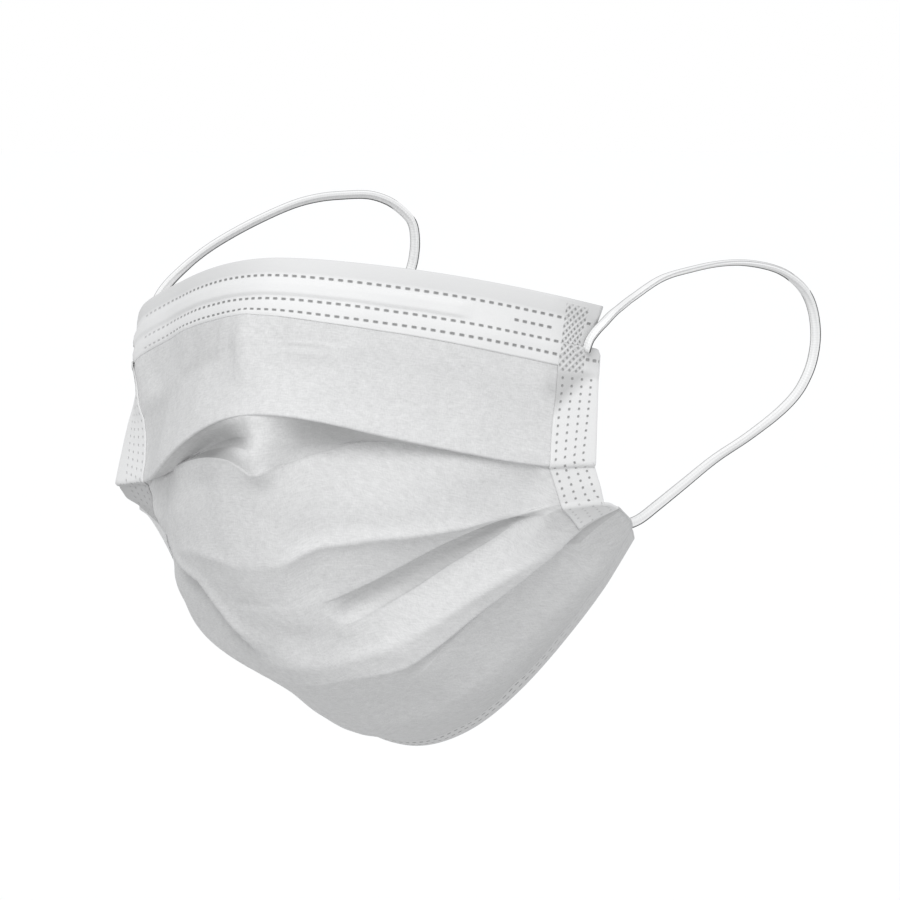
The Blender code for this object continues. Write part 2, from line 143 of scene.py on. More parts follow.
# Small moves of the lines at stations across. A row is the place across, then the mm to the
# right and up, as the photograph shows the mask, and out towards the camera.
MOVES = {
    "top_edge": [
        (-1, 0, 0, 0), (-0.4, 0, 0.2, 0), (0, 0, 0.3, 0), (0.25, 0, 0.5, 0), (0.5, 0, 0.9, 0),
        (1, 0, 1.2, 0)],
    "hem_edge": [
        (0.6, 0, 0, 0), (0.87, -0.8, 0, 0), (1, -0.6, 0, 0)],
    "first_fold": [
        (-1, -1.2, 0, 0), (-0.87, -0.2, 0.8, 0), (-0.7, 0, -0.6, 0), (-0.55, 0, -1.4, 0),
        (-0.35, 0, -0.9, 0), (-0.1, 0, -0.3, 0), (0.05, 0, -0.3, 0), (0.22, 0, -0.8, 0),
        (0.38, 0, -1.5, 0), (0.64, 0, -1.4, 0), (0.87, -0.9, -0.9, 0), (1, -0.6, 0.3, 0)],
    "shoulder": [
        (-1, -1.2, 0, -6), (-0.87, 0, 0, -2), (-0.6, 0, 0, 0)],
    "crease": [
        (-1, -1.2, 0, -6), (-0.87, 0, -1, -2), (-0.63, 0, -1.5, -1), (-0.4, 0, 0.4, -0.8),
        (-0.2, 0, 0.2, -1), (-0.1, 0, -1, -1), (0, 0, 0, -0.8), (0.09, 0, 2, -0.2), (0.16, 0, 2.8, 0.2),
        (0.27, 0, 2.5, 0.4), (0.37, 0, 1.2, 0.2), (0.47, 0, -0.5, 0), (0.6, 0, -1.6, 0),
        (0.75, 0, -2.6, 0), (0.89, 0, -2.2, 0), (1, 0, -1.2, 0)],
    "second_fold": [
        (-1, -0.8, 0, -6), (-0.87, 0, 0, -2), (-0.7, 0, -1.2, 0), (-0.5, 0, -0.3, 0),
        (-0.36, 0, 0.8, 0.5), (0, 0, 0, 1.5), (0.45, 0, 0.5, 0.5), (0.54, 0, 0, 0.5),
        (0.65, 0, -0.8, 0.3), (0.76, 0, -2.2, 0), (0.88, 0, -1.4, 0), (1, 0.2, -0.1, 0)],
    "ridge": [
        (-1, -0.8, 0, -3), (-0.87, 0, 0, -1), (-0.5, 0, 0, 2), (-0.1, 0, -1, 5), (0.13, 0, -2.4, 4.4),
        (0.3, 0, -2.9, 3.4), (0.5, 0, -3, 2.8), (0.66, 0, -2.6, 1.8), (0.8, 0, -1.2, 0.8),
        (0.87, 0, 0, 0)],
    "third_fold": [
        (-1, 0, 0, 0), (-0.6, -0.8, 0, 2.5), (-0.3, 0, 0.4, 7.5), (-0.05, 0, 0.4, 12),
        (0.06, 0, 2, 12.5), (0.18, 0, 0.5, 12.5), (0.28, 0, -1.5, 12.5), (0.37, 0, -1.2, 11.5),
        (0.51, 0, -0.3, 9.5), (0.64, 0, -1, 7), (0.79, 0, -1.3, 3.6), (0.87, 0, 0.7, 1),
        (0.94, 0, 1.4, 0.4), (1, 0, 1, 0)],
    "underside": [
        (-1, 0, 0, 0), (-0.5, -0.8, 0, 0), (-0.27, 0, 3.4, 3.5), (-0.1, 0, 0, 5), (0, 0, -0.8, 5),
        (0.3, 0, -1.4, 5), (0.6, 0, 0, 2.5), (0.9, 0, 0, 0), (1, 0.3, 0.4, 0)],
    "bottom_edge": [
        (-1, 0, 0, 0), (-0.3, 0, 2, 0), (-0.1, 0, -0.8, 0), (0.1, 0, -1.8, 0), (0.3, 0, -2.4, 0),
        (0.5, 0.4, -1.2, 0), (0.7, 0.4, -0.4, 0), (0.95, 0.6, -0.8, 0), (1, 0.6, -0.8, 0)],
}

# Each pleat at stations across the mask. A row is the place across; five depths of the pocket
# behind the fold, from just under the fold to the tuck; how far the tuck lies below the fold
# (below zero it is folded up behind it); how softly the tuck is rounded; and how far the pleat is
# pulled flat (1 is flat).
PLEATS = {
    "first_fold": [
        (-0.87, 0.9, 1, 1.2, 1.4, 1.6, -1, 0.8, 0), (-0.7, 0.9, 3, 3.6, 3.6, 3.6, -2, 1, 0),
        (-0.52, 0.9, 4.4, 4.8, 4.4, 4, 0.4, 2, 0), (-0.35, 0.9, 5.2, 5.8, 4.8, 3.8, 4, 2.2, 0),
        (-0.22, 0.8, 4.2, 5.8, 4.6, 3.4, 7.4, 2.2, 0), (-0.15, 0.5, 3, 5.8, 3.8, 4.2, 9.4, 2.4, 0),
        (-0.11, 0.3, 2.6, 5.4, 3, 4.8, 11.2, 2.6, 0), (-0.08, 0.2, 2.6, 4.4, 2.6, 5.2, 12.6, 2.4, 0),
        (-0.055, 0.3, 2, 3.2, 2.4, 5.4, 13.6, 1.8, 0), (-0.035, 0.6, 1.4, 2.4, 2.4, 5.2, 14, 1.2, 0),
        (-0.02, 0.8, 1.2, 2, 2.6, 5.2, 14, 0.8, 0), (-0.005, 0.9, 1.6, 2.2, 3.4, 5.2, 13.7, 0.7, 0),
        (0.02, 0.9, 3, 3.8, 5.2, 6.4, 12.4, 0.5, 0), (0.05, 0.9, 4.2, 5.8, 7.2, 8, 10.4, 0.5, 0),
        (0.1, 0.9, 5.6, 8, 9.6, 10.2, 8.8, 0.5, 0), (0.16, 0.9, 6.8, 9.4, 10.8, 11, 6.6, 0.5, 0),
        (0.25, 0.9, 7, 9.2, 10.2, 10.2, 3.6, 0.6, 0), (0.32, 0.9, 5.6, 7.4, 8.2, 8, 1.2, 0.8, 0),
        (0.45, 0.9, 2.8, 3.8, 4.2, 4.4, -0.6, 0.8, 0), (0.6, 0.8, 1, 1.1, 1.3, 1.5, -1, 0.5, 0),
        (0.8, 0.6, 0.6, 0.6, 0.65, 0.7, -1, 0.4, 0), (0.87, 0.6, 0.6, 0.65, 0.75, 0.9, -1, 0.4, 0)],
    "second_fold": [
        (-0.87, 0.9, 1.2, 1.4, 1.6, 2, -1, 0.6, 0.5), (-0.75, 0.9, 1.2, 1.4, 1.6, 2, 1, 0.6, 1),
        (0.12, 0.4, 0.8, 0.8, 0.6, 0.3, 9.5, 1, 1), (0.16, 0.5, 0.9, 1.2, 1.2, 0.4, 9, 1, 0.4),
        (0.2, 0.7, 1.6, 2.4, 2.2, 0.4, 8.4, 0.8, 0), (0.235, 0.9, 2.2, 2.8, 2.4, 0.3, 8.2, 0.8, 0),
        (0.28, 0.9, 2.6, 3.1, 2.6, 0.6, 8, 1.4, 0), (0.38, 0.9, 2.5, 3, 2.4, 1.1, 8, 3, 0),
        (0.48, 1, 2.6, 3.1, 2.5, 1.3, 7.4, 4.4, 0), (0.6, 1.2, 2.8, 3.4, 2.8, 1.6, 7, 5, 0),
        (0.72, 0.9, 1.9, 2.4, 2.2, 1.6, 4, 4, 0), (0.78, 0.8, 1.3, 1.7, 1.8, 1.6, 2.6, 2, 0.2),
        (0.82, 0.8, 1, 1.3, 1.4, 1.5, 2, 1.2, 0.6), (0.87, 0.9, 1, 1.2, 1.4, 1.6, 1.5, 0.5, 1)],
    "third_fold": [
        (-0.87, 0.9, 1.2, 1.4, 1.6, 2, 1, 0.6, 0.5), (-0.75, 0.9, 1.2, 1.4, 1.6, 2, 1.6, 0.8, 1),
        (0.2, 0.9, 1.2, 1.4, 1.6, 2, 2, 0.8, 1), (0.3, 0.9, 1.3, 1.5, 1.7, 1.9, 2, 1, 0.4),
        (0.4, 0.9, 1.8, 2.3, 2.5, 2.6, 1.4, 0.8, 0), (0.65, 0.9, 2.4, 3, 3.2, 3.4, 1, 0.5, 0),
        (0.87, 0.9, 1.8, 2.2, 2.4, 2.6, 1.2, 0.5, 0)],
}
# How far down to the tuck the pocket's five depths are taken
POCKET_STEPS = (0.0, 0.25, 0.5, 0.75, 1.0)

# Painted shade inside each pleat's pocket, for the shadow of its fold, at stations across. A row
# is the place across, then the painted shade near the fold, in the middle, near the tuck, and in
# the tuck's own line.
POCKET_PAINTED_SHADES = {
    "first_fold": [
        (-0.87, 0.3, 0.3, 0.2, 0.1), (-0.6, 0.2, 0.2, 0.3, 0.6), (-0.45, 0.3, 0.2, 0.7, 1),
        (-0.25, 0.5, 0.8, 1.3, 1.2), (-0.17, 0.4, 1, 0.9, 1), (-0.11, 0.1, 0.9, 0.3, 0.6),
        (-0.075, 0, 0.6, 0, 0.5), (-0.04, 0, 0.2, 0, 0.6), (0, 0.1, 0, 0, 0.7),
        (0.06, 0.3, 0.15, 0.1, 0.9), (0.14, 0.6, 0.4, 0.2, 0.9), (0.22, 0.7, 0.5, 0.3, 0.7),
        (0.3, 0.6, 0.5, 0.3, 0.2), (0.45, 0.4, 0.4, 0.3, 0), (0.87, 0.1, 0.1, 0.1, 0)],
    "second_fold": [
        (0.14, 0, 0, 0, 0), (0.24, 0.2, 0.2, 0.1, 0), (0.4, 0.3, 0.2, 0.4, 0.2),
        (0.6, 0.4, 0.3, 0.4, 0.2), (0.8, 0.2, 0.2, 0.1, 0)],
    "third_fold": [
        (0.2, 0, 0, 0, 0), (0.3, 0.2, 0.2, 0.1, 0), (0.87, 0.5, 0.4, 0.3, 0)],
}

# Soft patches of painted shade on the panels, by place across and number of the section's line,
# with how far they reach in each and how dark their painted shade is
ShadePatch = namedtuple("ShadePatch", "across line wide tall grey")
PAINTED_SHADE_PATCHES = [ShadePatch(0.25, 1.5, 0.5, 0.5, 0.11), ShadePatch(-0.38, 1.3, 0.14, 0.35, 0.28),
           ShadePatch(-0.72, 1.7, 0.1, 0.35, 0.18), ShadePatch(0.1, 10.6, 0.16, 0.9, 0.2),
           ShadePatch(-0.2, 11.0, 0.3, 0.9, 0.08), ShadePatch(0.5, 30.8, 0.35, 1.2, 0.22),
           ShadePatch(-0.25, 30.0, 0.2, 2.0, -0.06), ShadePatch(0.855, 1.3, 0.03, 0.3, 0.4),
           ShadePatch(0.08, 1.42, 0.11, 0.09, 0.22), ShadePatch(0.10, 1.85, 0.10, 0.10, 0.16)]

# How far some lines of the fabric stand out (or in, below zero) at stations across, in mm
RELIEF = {
    "flare": [(-0.87, 0), (-0.6, -1.3), (0, -1.8), (0.7, -1.6), (0.87, 0)],
    "swell": [(-0.87, 0), (-0.5, -1), (-0.2, -1), (0.1, -0.6), (0.4, 0.5), (0.87, 0)],
    "crease": [(-0.87, 0), (-0.5, 0.3), (0, 0.7), (0.3, 1.2), (0.7, 0.3), (0.87, 0)],
    "ridge": [(-0.87, 0), (-0.3, 0), (0.1, 0.2), (0.3, 0.5), (0.6, 0.6), (0.87, 0)],
    "low_ridge": [(-0.87, 0), (0, 0.6), (0.3, 1.4), (0.6, 1.4), (0.87, 0)],
}
# How far down from the ridge to the third fold the lower ridge runs, at stations across
LOW_RIDGE_SHARE = [(-0.87, 0.5), (-0.2, 0.5), (0.13, 0.34), (0.28, 0.24), (0.5, 0.22),
                   (0.66, 0.4), (0.82, 0.8), (0.87, 0.8)]

# How far each section of a side band steps in below a pleat, in mm, on the left and right sides
BAND_STEPS = {"first_fold": (0.9, 1.2), "second_fold": (0.8, 0.6), "third_fold": (0.5, 0.5)}
BAND_STEP_SHARES = (0.0, 0.4, 0.8, 1.0, 1.0, 0.95, 0.9)

# The far end of the mask curls back: how far the line at the inner edge of the right side band
# is pushed out at distances down the cloth, in mm
FAR_BULGE = [(0, 4.4), (4, 4.3), (8, 4.1), (13, 3.8), (15, 4.2), (18, 3.2), (22, 2.2), (26, 1.6),
             (31, -0.2), (38, -0.6), (45, -0.5), (55, 0.0)]
# How far the same end of the cloth sags and how far it curls back at distances down it, and
# how much of that is reached at places across, in mm
FAR_SAG = [(0, 7.0), (6, 4.4), (13, 1.2), (20, 0.0)]
FAR_CURL = [(0, 5.0), (6, 3.0), (13, 0.5), (20, 0.0)]
FAR_REACH = [(0.60, 0.0), (0.66, 0.05), (0.75, 0.15), (0.81, 0.25), (0.87, 0.45), (0.93, 0.75),
             (1.0, 1.0)]
# The near end of the top hem is cut slanting, this far in at distances down the cloth
NEAR_SLANT = [(0, 0.0), (10.4, 3.9), (12.0, 3.0), (14.5, 0.0)]

# How far apart the layers of a tucked pleat lie in mm, where the corners of a flattened pleat lie
# between its fold and the next line, and how far across the bands take to flatten the pleats
LAYER = 0.6
FLAT_STEPS = (0.0, 0.05, 0.10, 0.14, 0.18, 0.22, 0.26)
BAND_FADE = 0.05
# Mesh rows round a rounded corner of the section, and places across for the mesh columns, closer
# together at the first pleat's tip: the bounds of the parts and the columns in each
ARC_ROWS = 3
PART_BOUNDS = (-1.0, -0.22, 0.10, 1.0)
PART_COLUMNS = (58, 38, 71)


def smooth(share):
    share = np.clip(share, 0.0, 1.0)
    return share * share * (3.0 - 2.0 * share)


def through(stations, column, at):
    """A smooth curve through one column of a table of stations, without overshoot."""
    table = np.array(stations, dtype=float)
    places, values = table[:, 0], table[:, column]
    steps = np.diff(places)
    rises = np.diff(values) / steps
    slopes = np.zeros_like(values)
    same = rises[1:] * rises[:-1] > 1e-12
    total = np.where(same, rises[1:] + rises[:-1], 1.0)
    slopes[1:-1] = np.where(same, 2.0 * rises[1:] * rises[:-1] / total, 0.0)
    k = np.clip(np.searchsorted(places, at) - 1, 0, len(steps) - 1)
    t = np.clip((at - places[k]) / steps[k], 0.0, 1.0)
    rest = 1.0 - t
    start = values[k] * (1 + 2 * t) + slopes[k] * steps[k] * t
    stop = values[k + 1] * (3 - 2 * t) - slopes[k + 1] * steps[k] * rest
    return start * rest * rest + stop * t * t


def between(at, places, points):
    """Points of one line at places along it."""
    return np.stack([np.interp(at, places, points[:, i]) for i in range(3)], axis=-1)


def unit(vectors):
    return vectors / np.maximum(np.linalg.norm(vectors, axis=-1, keepdims=True), 1e-9)


def nose_curve(share):
    start = NOSE_ROUNDNESS
    return (np.sqrt(share * share + start * start) - start) / (np.sqrt(1 + start * start) - start)


def drop_curve(share):
    start = CHIN_ROUNDNESS ** 1.5
    bend = CHIN_ROUNDNESS ** 2
    return ((share * share + bend) ** 0.75 - start) / ((1.0 + bend) ** 0.75 - start)


def free_line(line, across):
    """Points of a fold line at places across, from -1 (wearer's right) to 1 (wearer's left)."""
    share = np.abs(across)
    left = across >= 0.0
    side = np.where(left, 1.0, -1.0)
    edge = Edge(*(np.where(left, a, b) for a, b in zip(line.left, line.right)))
    rest = 1.0 - share
    waist = edge.waist * WAIST_PEAK * share ** 6 * rest
    x = line.middle[0] * rest * rest + side * (edge.x * share * (1.0 + edge.full * rest) - waist)
    y = line.middle[1] + (edge.y - line.middle[1]) * nose_curve(share)
    z = line.middle[2] + (edge.z - line.middle[2]) * drop_curve(share)
    z = z + edge.rise * RISE_PEAK * share * share * rest
    return np.stack([x, y, z], axis=-1)


# The photograph's own directions: to its right, towards the camera and up
SIDEWAYS = np.array([cos(radians(CAMERA_AZIMUTH)), sin(radians(CAMERA_AZIMUTH)), 0.0])
TOWARDS = np.array([sin(radians(CAMERA_AZIMUTH)), -cos(radians(CAMERA_AZIMUTH)), 0.05])
UPWARDS = np.array([0.0, 0.0, 1.0])
# Shifts across that a curve is averaged over, so that it has no corners
EASED = (-0.12, -0.06, 0.0, 0.06, 0.12)
NUDGE = 0.004


def on_line(name, across):
    """As free_line, but straight from the inner edge of the side band to the mask's side edge."""
    share = np.abs(across)
    side = np.where(across >= 0.0, 1.0, -1.0)
    inner = free_line(LINES[name], side * np.minimum(share, BAND_START))
    outer = free_line(LINES[name], side)
    along_band = np.clip((share - BAND_START) / (1.0 - BAND_START), 0.0, 1.0)[:, None]
    right, up, out = (sum(through(MOVES[name], i, across + shift * 0.35) for shift in EASED)[:, None]
                      / len(EASED) for i in (1, 2, 3))
    moved = SIDEWAYS * right + UPWARDS * up + TOWARDS * out
    return inner + (outer - inner) * along_band + moved


def in_band(across):
    """0 on the open mask and 1 where the side band holds the pleats flat."""
    return smooth((np.abs(across) - (BAND_START - 0.01 - BAND_FADE)) / BAND_FADE)[:, None]


def inward_at(name, above, across):
    """The directions towards the face and down the fabric at a fold line."""
    along = unit(on_line(name, across + NUDGE) - on_line(name, across - NUDGE))
    down = unit(on_line(name, across) - on_line(above, across))
    return unit(np.cross(along, down)), down


def fold_corners(name, above, following, across):
    """A pleat's corners: the fold, the pocket behind it down to the tuck, and the tuck's back."""
    depths = [through(PLEATS[name], i, across)[:, None] for i in range(1, 6)]
    drop, soft, flat = (through(PLEATS[name], i, across)[:, None] for i in (6, 7, 8))
    fold = on_line(name, across)
    inward, down = inward_at(name, above, across)
    closed = smooth(-drop / 1.5)
    shut = [fold]
    for depth, step in zip(depths, POCKET_STEPS):
        shut.append(fold + inward * depth + down * drop * step)
    shut.append(shut[-1] + inward * LAYER * closed + down * 0.5 * (1.0 - closed))
    bound = in_band(across)
    level = np.maximum(flat, bound)
    left_step, right_step = BAND_STEPS[name]
    recess = np.where(across[:, None] > 0, left_step, right_step) * bound
    pulled = [fold + (following - fold) * step + inward * recess * share
              for step, share in zip(FLAT_STEPS, BAND_STEP_SHARES)]
    corners = [a + (b - a) * level for a, b in zip(shut, pulled)]
    return corners, soft[:, 0]


def pleat_keys(corners, soft, rows, roundness):
    """The corners of a pleat with the reach of their rounding and the rows after each."""
    reaches = [0.45, 0.45, roundness, roundness, roundness, soft, soft]
    return list(zip(corners, reaches, rows))


def body_keys(across):
    """The corners of the mask's section at places across, with the reach of each one's rounding
    and the number of mesh rows from it to the next."""
    (top, hem, first_line, shoulder, crease, second_line, ridge, third_line, underside,
     bottom) = (on_line(name, across) for name in LINES)
    bound = in_band(across)
    shoulder = shoulder + (first_line + (second_line - first_line) * 0.45 - shoulder) * bound
    shoulder = shoulder - SIDEWAYS * 2.2 * smooth((-across - 0.88) / 0.1)[:, None]
    crease = crease + (first_line + (second_line - first_line) * 0.8 - crease) * bound
    ridge = ridge + (second_line + (third_line - second_line) * 0.45 - ridge) * bound
    first, first_soft = fold_corners("first_fold", "hem_edge", shoulder, across)
    second, second_soft = fold_corners("second_fold", "crease", ridge, across)
    third, third_soft = fold_corners("third_fold", "ridge", underside, across)
    crease = lifted(crease, "crease", "crease", across)
    ridge = lifted(ridge, "ridge", "ridge", across)
    panel = (shoulder + crease) * 0.5
    flare = lifted(hem * 0.4 + first[0] * 0.6, "first_fold", "flare", across)
    tucked = first[6] - first_line
    tucked = sum(between(across + shift * 0.6, across, tucked) for shift in EASED) / len(EASED)
    swell = lifted(panel * 0.45 + (first_line + tucked) * 0.55, "shoulder", "swell", across)
    lower = through(LOW_RIDGE_SHARE, 1, across)[:, None]
    low_ridge = ridge * (1.0 - lower) + third[0] * lower
    low_ridge = lifted(low_ridge, "third_fold", "low_ridge", across)
    keys = [(top, 1.0, 13), (hem, 6.0, 14), (flare, 7.0, 8)]
    keys += pleat_keys(first, first_soft, (2, 4, 4, 4, 4, 2, 7), 2.0)
    keys += [(swell, 4.0, 8), (panel, 6.0, 12), (crease, 1.0, 11)]
    keys += pleat_keys(second, second_soft, (2, 3, 3, 3, 3, 2, 9), 1.6)
    keys += [(ridge, 3.0, 7), (low_ridge, 0.9, 7)]
    keys += pleat_keys(third, third_soft, (2, 2, 2, 2, 2, 2, 13), 0.8)
    keys += [((third[6] + underside) * 0.5, 9.0, 13), (underside, 9.0, 12),
             ((underside + bottom) * 0.5, 9.0, 12), (bottom, 1.0, 0)]
    return keys


def outward_at(name, across):
    """The direction out of the mask's front at one of its lines."""
    names = list(LINES)
    place = names.index(name)
    lower = names[min(place + 1, len(names) - 1)]
    upper = names[max(place - 1, 0)]
    along = on_line(name, across + NUDGE) - on_line(name, across - NUDGE)
    return unit(np.cross(on_line(lower, across) - on_line(upper, across), along))


def lifted(points, line, name, across):
    """Points moved out of the mask's front at one of its lines, as far as a relief says."""
    return points + outward_at(line, across) * through(RELIEF[name], 1, across)[:, None]


def rounded_section(keys):
    """A smooth section through the keys: straight runs joined by rounded corners. It gives
    the points, rows by columns, and the key number that each row lies at. A run takes up the
    numbers from 0.1 to 0.9 past its key, and a corner those between."""
    points = [key[0] for key in keys]
    rows = [points[0]]
    marks = [0.0]
    leave = points[0]
    for k in range(1, len(keys)):
        here = points[k]
        last = k == len(keys) - 1
        arriving = points[k - 1] - here
        length_in = np.linalg.norm(arriving, axis=-1)
        reach = np.zeros_like(length_in)
        if not last:
            leaving = points[k + 1] - here
            length_out = np.linalg.norm(leaving, axis=-1)
            reach = np.minimum(keys[k][1], 0.46 * np.minimum(length_in, length_out))
        enter = here + unit(arriving) * reach[:, None]
        count = keys[k - 1][2]
        for step in range(1, count + 1):
            share = step / count
            rows.append(leave + (enter - leave) * share)
            marks.append(k - 1 + 0.1 + 0.8 * share)
        if last:
            break
        leave = here + unit(leaving) * reach[:, None]
        for step in range(1, ARC_ROWS + 1):
            t = step / ARC_ROWS
            rows.append(enter * (1 - t) ** 2 + here * 2 * t * (1 - t) + leave * t * t)
            marks.append(k - 0.1 + 0.2 * t)
    return np.array(rows), np.array(marks)


def body_stations():
    parts = [np.linspace(start, stop, count, endpoint=False)
             for start, stop, count in zip(PART_BOUNDS, PART_BOUNDS[1:], PART_COLUMNS)]
    return np.concatenate(parts + [[1.0]])


def arc_lengths(points, axis=0):
    steps = np.linalg.norm(np.diff(points, axis=axis), axis=-1)
    zero = np.zeros_like(np.take(steps, [0], axis=axis))
    return np.concatenate([zero, np.cumsum(steps, axis=axis)], axis=axis)


def cloth_distances(points, across):
    """How far each point of the cloth lies from its middle and down from its top edge."""
    down = arc_lengths(points)
    return np.broadcast_to(across * HALF_WIDTH, down.shape), down


def outward_normals(points):
    """The outward direction at each point of a grid of rows down and columns across."""
    across = np.gradient(points, axis=1)
    steps = unit(np.diff(points, axis=0))
    down = np.concatenate([steps[:1], steps[1:] + steps[:-1], steps[-1:]], axis=0)
    return unit(np.cross(down, across))


def curl_far_end(points, across):
    """Pushes the cloth out along the inner edge of the right band, whose outer edge turns back."""
    down = arc_lengths(points)
    push = through(FAR_BULGE, 1, down)
    share = -across[None, :]
    rising = smooth((share - 0.55) / (BAND_START - 0.55))
    falling = 1.0 - smooth((share - BAND_START) / (1.0 - BAND_START))
    points[..., 0] -= push * rising * falling
    reach = np.interp(share, *np.array(FAR_REACH).T)
    points[..., 2] -= through(FAR_SAG, 1, down) * reach
    points[..., 1] += through(FAR_CURL, 1, down) * reach
    points[..., 1] += 0.5 * push * (rising - falling).clip(0, 1)
    return points


def slant_near_end(points, across):
    """Shortens the near end of the top hem, so that its end is cut slanting."""
    down = arc_lengths(points)
    table = np.array(NEAR_SLANT, dtype=float)
    cut = np.interp(down, table[:, 0], table[:, 1]) / SIDE_BAND_WIDTH
    inner = np.searchsorted(across, BAND_START)
    start = points[:, inner:inner + 1]
    points[:, inner + 1:] = start + (points[:, inner + 1:] - start) * (1.0 - cut[:, inner + 1:, None])
    return points


# Folds, dents and soft ridges that the cloth shows besides its pleats, with their width and height
# in mm. Each one runs through places on the cloth, given for each of its lines in turn as the
# place across and the mm below that line. A ridge is soft, a crease is sharp, and a drop falls
# away on its lower side.
Stroke = namedtuple("Stroke", "kind width height places")
STROKES = [
    Stroke("ridge", 4.4, 2, {"top_edge": [(-0.15, 12.5), (-0.13, 19), (-0.1, 31)]}),
    Stroke("ridge", 5, -0.8, {"top_edge": [(-0.5, 18), (-0.36, 19), (-0.24, 20)]}),
    Stroke("ridge", 2.3, -1.5, {"top_edge": [(-0.05, 19.6), (0.03, 20.4), (0.12, 19.6), (0.24, 19.5)]}),
    Stroke("ridge", 2.3, -0.9, {"top_edge": [(-0.05, 26), (0.03, 27), (0.12, 26.5), (0.24, 27)]}),
    Stroke("ridge", 4, -1, {"top_edge": [(-0.84, 19), (-0.72, 18), (-0.6, 18.5), (-0.42, 22)]}),
    Stroke("crease", 1.2, 2.2, {
        "crease": [(-0.02, 0), (0.1, -0.6), (0.25, -0.8), (0.37, -0.4), (0.5, 0.2), (0.7, 0.8)]}),
    Stroke("crease", 1.8, 0.5, {"crease": [(-0.62, 0), (-0.4, -0.2), (-0.2, 0), (-0.08, 0.4)]}),
    Stroke("drop", 1.5, 3, {
        "crease": [(-0.7, 1.5), (-0.55, 4)], "second_fold": [(-0.39, -0.5), (-0.31, 4.5)],
        "ridge": [(-0.19, 0), (-0.1, 4)]}),
    Stroke("crease", 1.5, -0.35, {
        "second_fold": [(-0.28, 3), (-0.1, 0), (0, -1), (0.1, -2.6), (0.2, -3)]}),
    Stroke("ridge", 2.8, 1, {
        "first_tuck": [(-0.85, 2), (-0.85, 8)], "crease": [(-0.84, -4), (-0.82, 0)]}),
    Stroke("ridge", 3, -0.7, {"first_tuck": [(-0.72, 1), (-0.74, 7)], "crease": [(-0.76, -4)]}),
]
# The numbers of the section's lines that strokes and the painted pocket shade are placed from. Each
# pleat's tuck comes the same number of lines after its fold.
TUCK_AFTER = 6
LINE_NUMBERS = {"top_edge": 0, "first_fold": 3, "first_tuck": 9, "crease": 12, "second_fold": 13,
                "ridge": 20, "third_fold": 22}
# Slow waves of the slack cloth: wavelength and height in mm, the direction in degrees, and how
# far the wave is shifted
Wave = namedtuple("Wave", "length height turn shift")
WAVES = [Wave(46, 0.32, 12, 0.4), Wave(37, 0.24, 74, 2.1), Wave(29, 0.18, 143, 4.4),
         Wave(23, 0.13, 38, 1.3), Wave(17, 0.09, 101, 5.2), Wave(13, 0.07, 163, 3.3),
         Wave(10, 0.045, 57, 0.9), Wave(8, 0.03, 121, 2.7)]
# The section's line numbers at which each fold line's own outward direction holds
DIRECTIONS = [(0, "top_edge"), (1, "hem_edge"), (3, "first_fold"), (10, "shoulder"),
              (12, "crease"), (13, "second_fold"), (19, "second_fold"), (20, "ridge"),
              (22, "third_fold"), (28, "third_fold"), (30, "underside"), (32, "bottom_edge")]


def panel_directions(across, marks):
    """The outward direction of the panels, which all the layers of a pleat share."""
    numbers = [number for number, name in DIRECTIONS]
    known = np.array([outward_at(name, across) for number, name in DIRECTIONS])
    return unit(np.stack([between(marks, numbers, known[:, j]) for j in range(len(across))], axis=1))


def cloth_waves(far, down):
    height = np.zeros_like(down)
    for wave in WAVES:
        turn = radians(wave.turn)
        travel = (far * cos(turn) + down * sin(turn)) * 2 * pi / wave.length
        bend = 0.8 * np.sin((far * sin(turn) - down * cos(turn)) * 2 * pi / (2.3 * wave.length))
        height += wave.height * np.sin(travel + bend + wave.shift)
    return height


def stroke_height(stroke, across, marks, far, down):
    """How far one stroke lifts each point of the cloth."""
    stops = []
    for line, places in stroke.places.items():
        for place, below in places:
            column = np.interp(place, across, np.arange(len(across)))
            low = min(int(column), len(across) - 2)
            rows = down[:, low] + (down[:, low + 1] - down[:, low]) * (column - low)
            start = np.interp(LINE_NUMBERS[line], marks, rows)
            stops.append((place * HALF_WIDTH, start + below))
    stops = np.array(stops)
    total = np.sum(np.linalg.norm(np.diff(stops, axis=0), axis=1))
    nearest = np.full(down.shape, 1e9)
    signed = np.zeros_like(down)
    along = np.zeros_like(down)
    travelled = 0.0
    for a, b in zip(stops, stops[1:]):
        length = np.linalg.norm(b - a)
        one = (b - a) / length
        off_x, off_y = far - a[0], down - a[1]
        share = np.clip((off_x * one[0] + off_y * one[1]) / length, 0.0, 1.0)
        away = np.hypot(off_x - one[0] * length * share, off_y - one[1] * length * share)
        side = off_y * one[0] - off_x * one[1]
        closer = away < nearest
        nearest = np.where(closer, away, nearest)
        signed = np.where(closer, np.where(side >= 0, away, -away), signed)
        along = np.where(closer, (travelled + share * length) / total, along)
        travelled += length
    taper = smooth(along / 0.25) * smooth((1.0 - along) / 0.25)
    wide = stroke.width
    if stroke.kind == "ridge":
        shape = np.exp(-(nearest / wide) ** 2)
    elif stroke.kind == "crease":
        shape = np.exp(-np.sqrt(nearest ** 2 + 0.1) / wide)
    else:
        below = np.maximum(signed, 0.0)
        shape = 0.35 * np.exp(-(nearest / (1.5 * wide)) ** 2)
        shape = shape - (1 - np.exp(-below / wide)) * np.exp(-(below / (3.5 * wide)) ** 2)
    return stroke.height * shape * taper


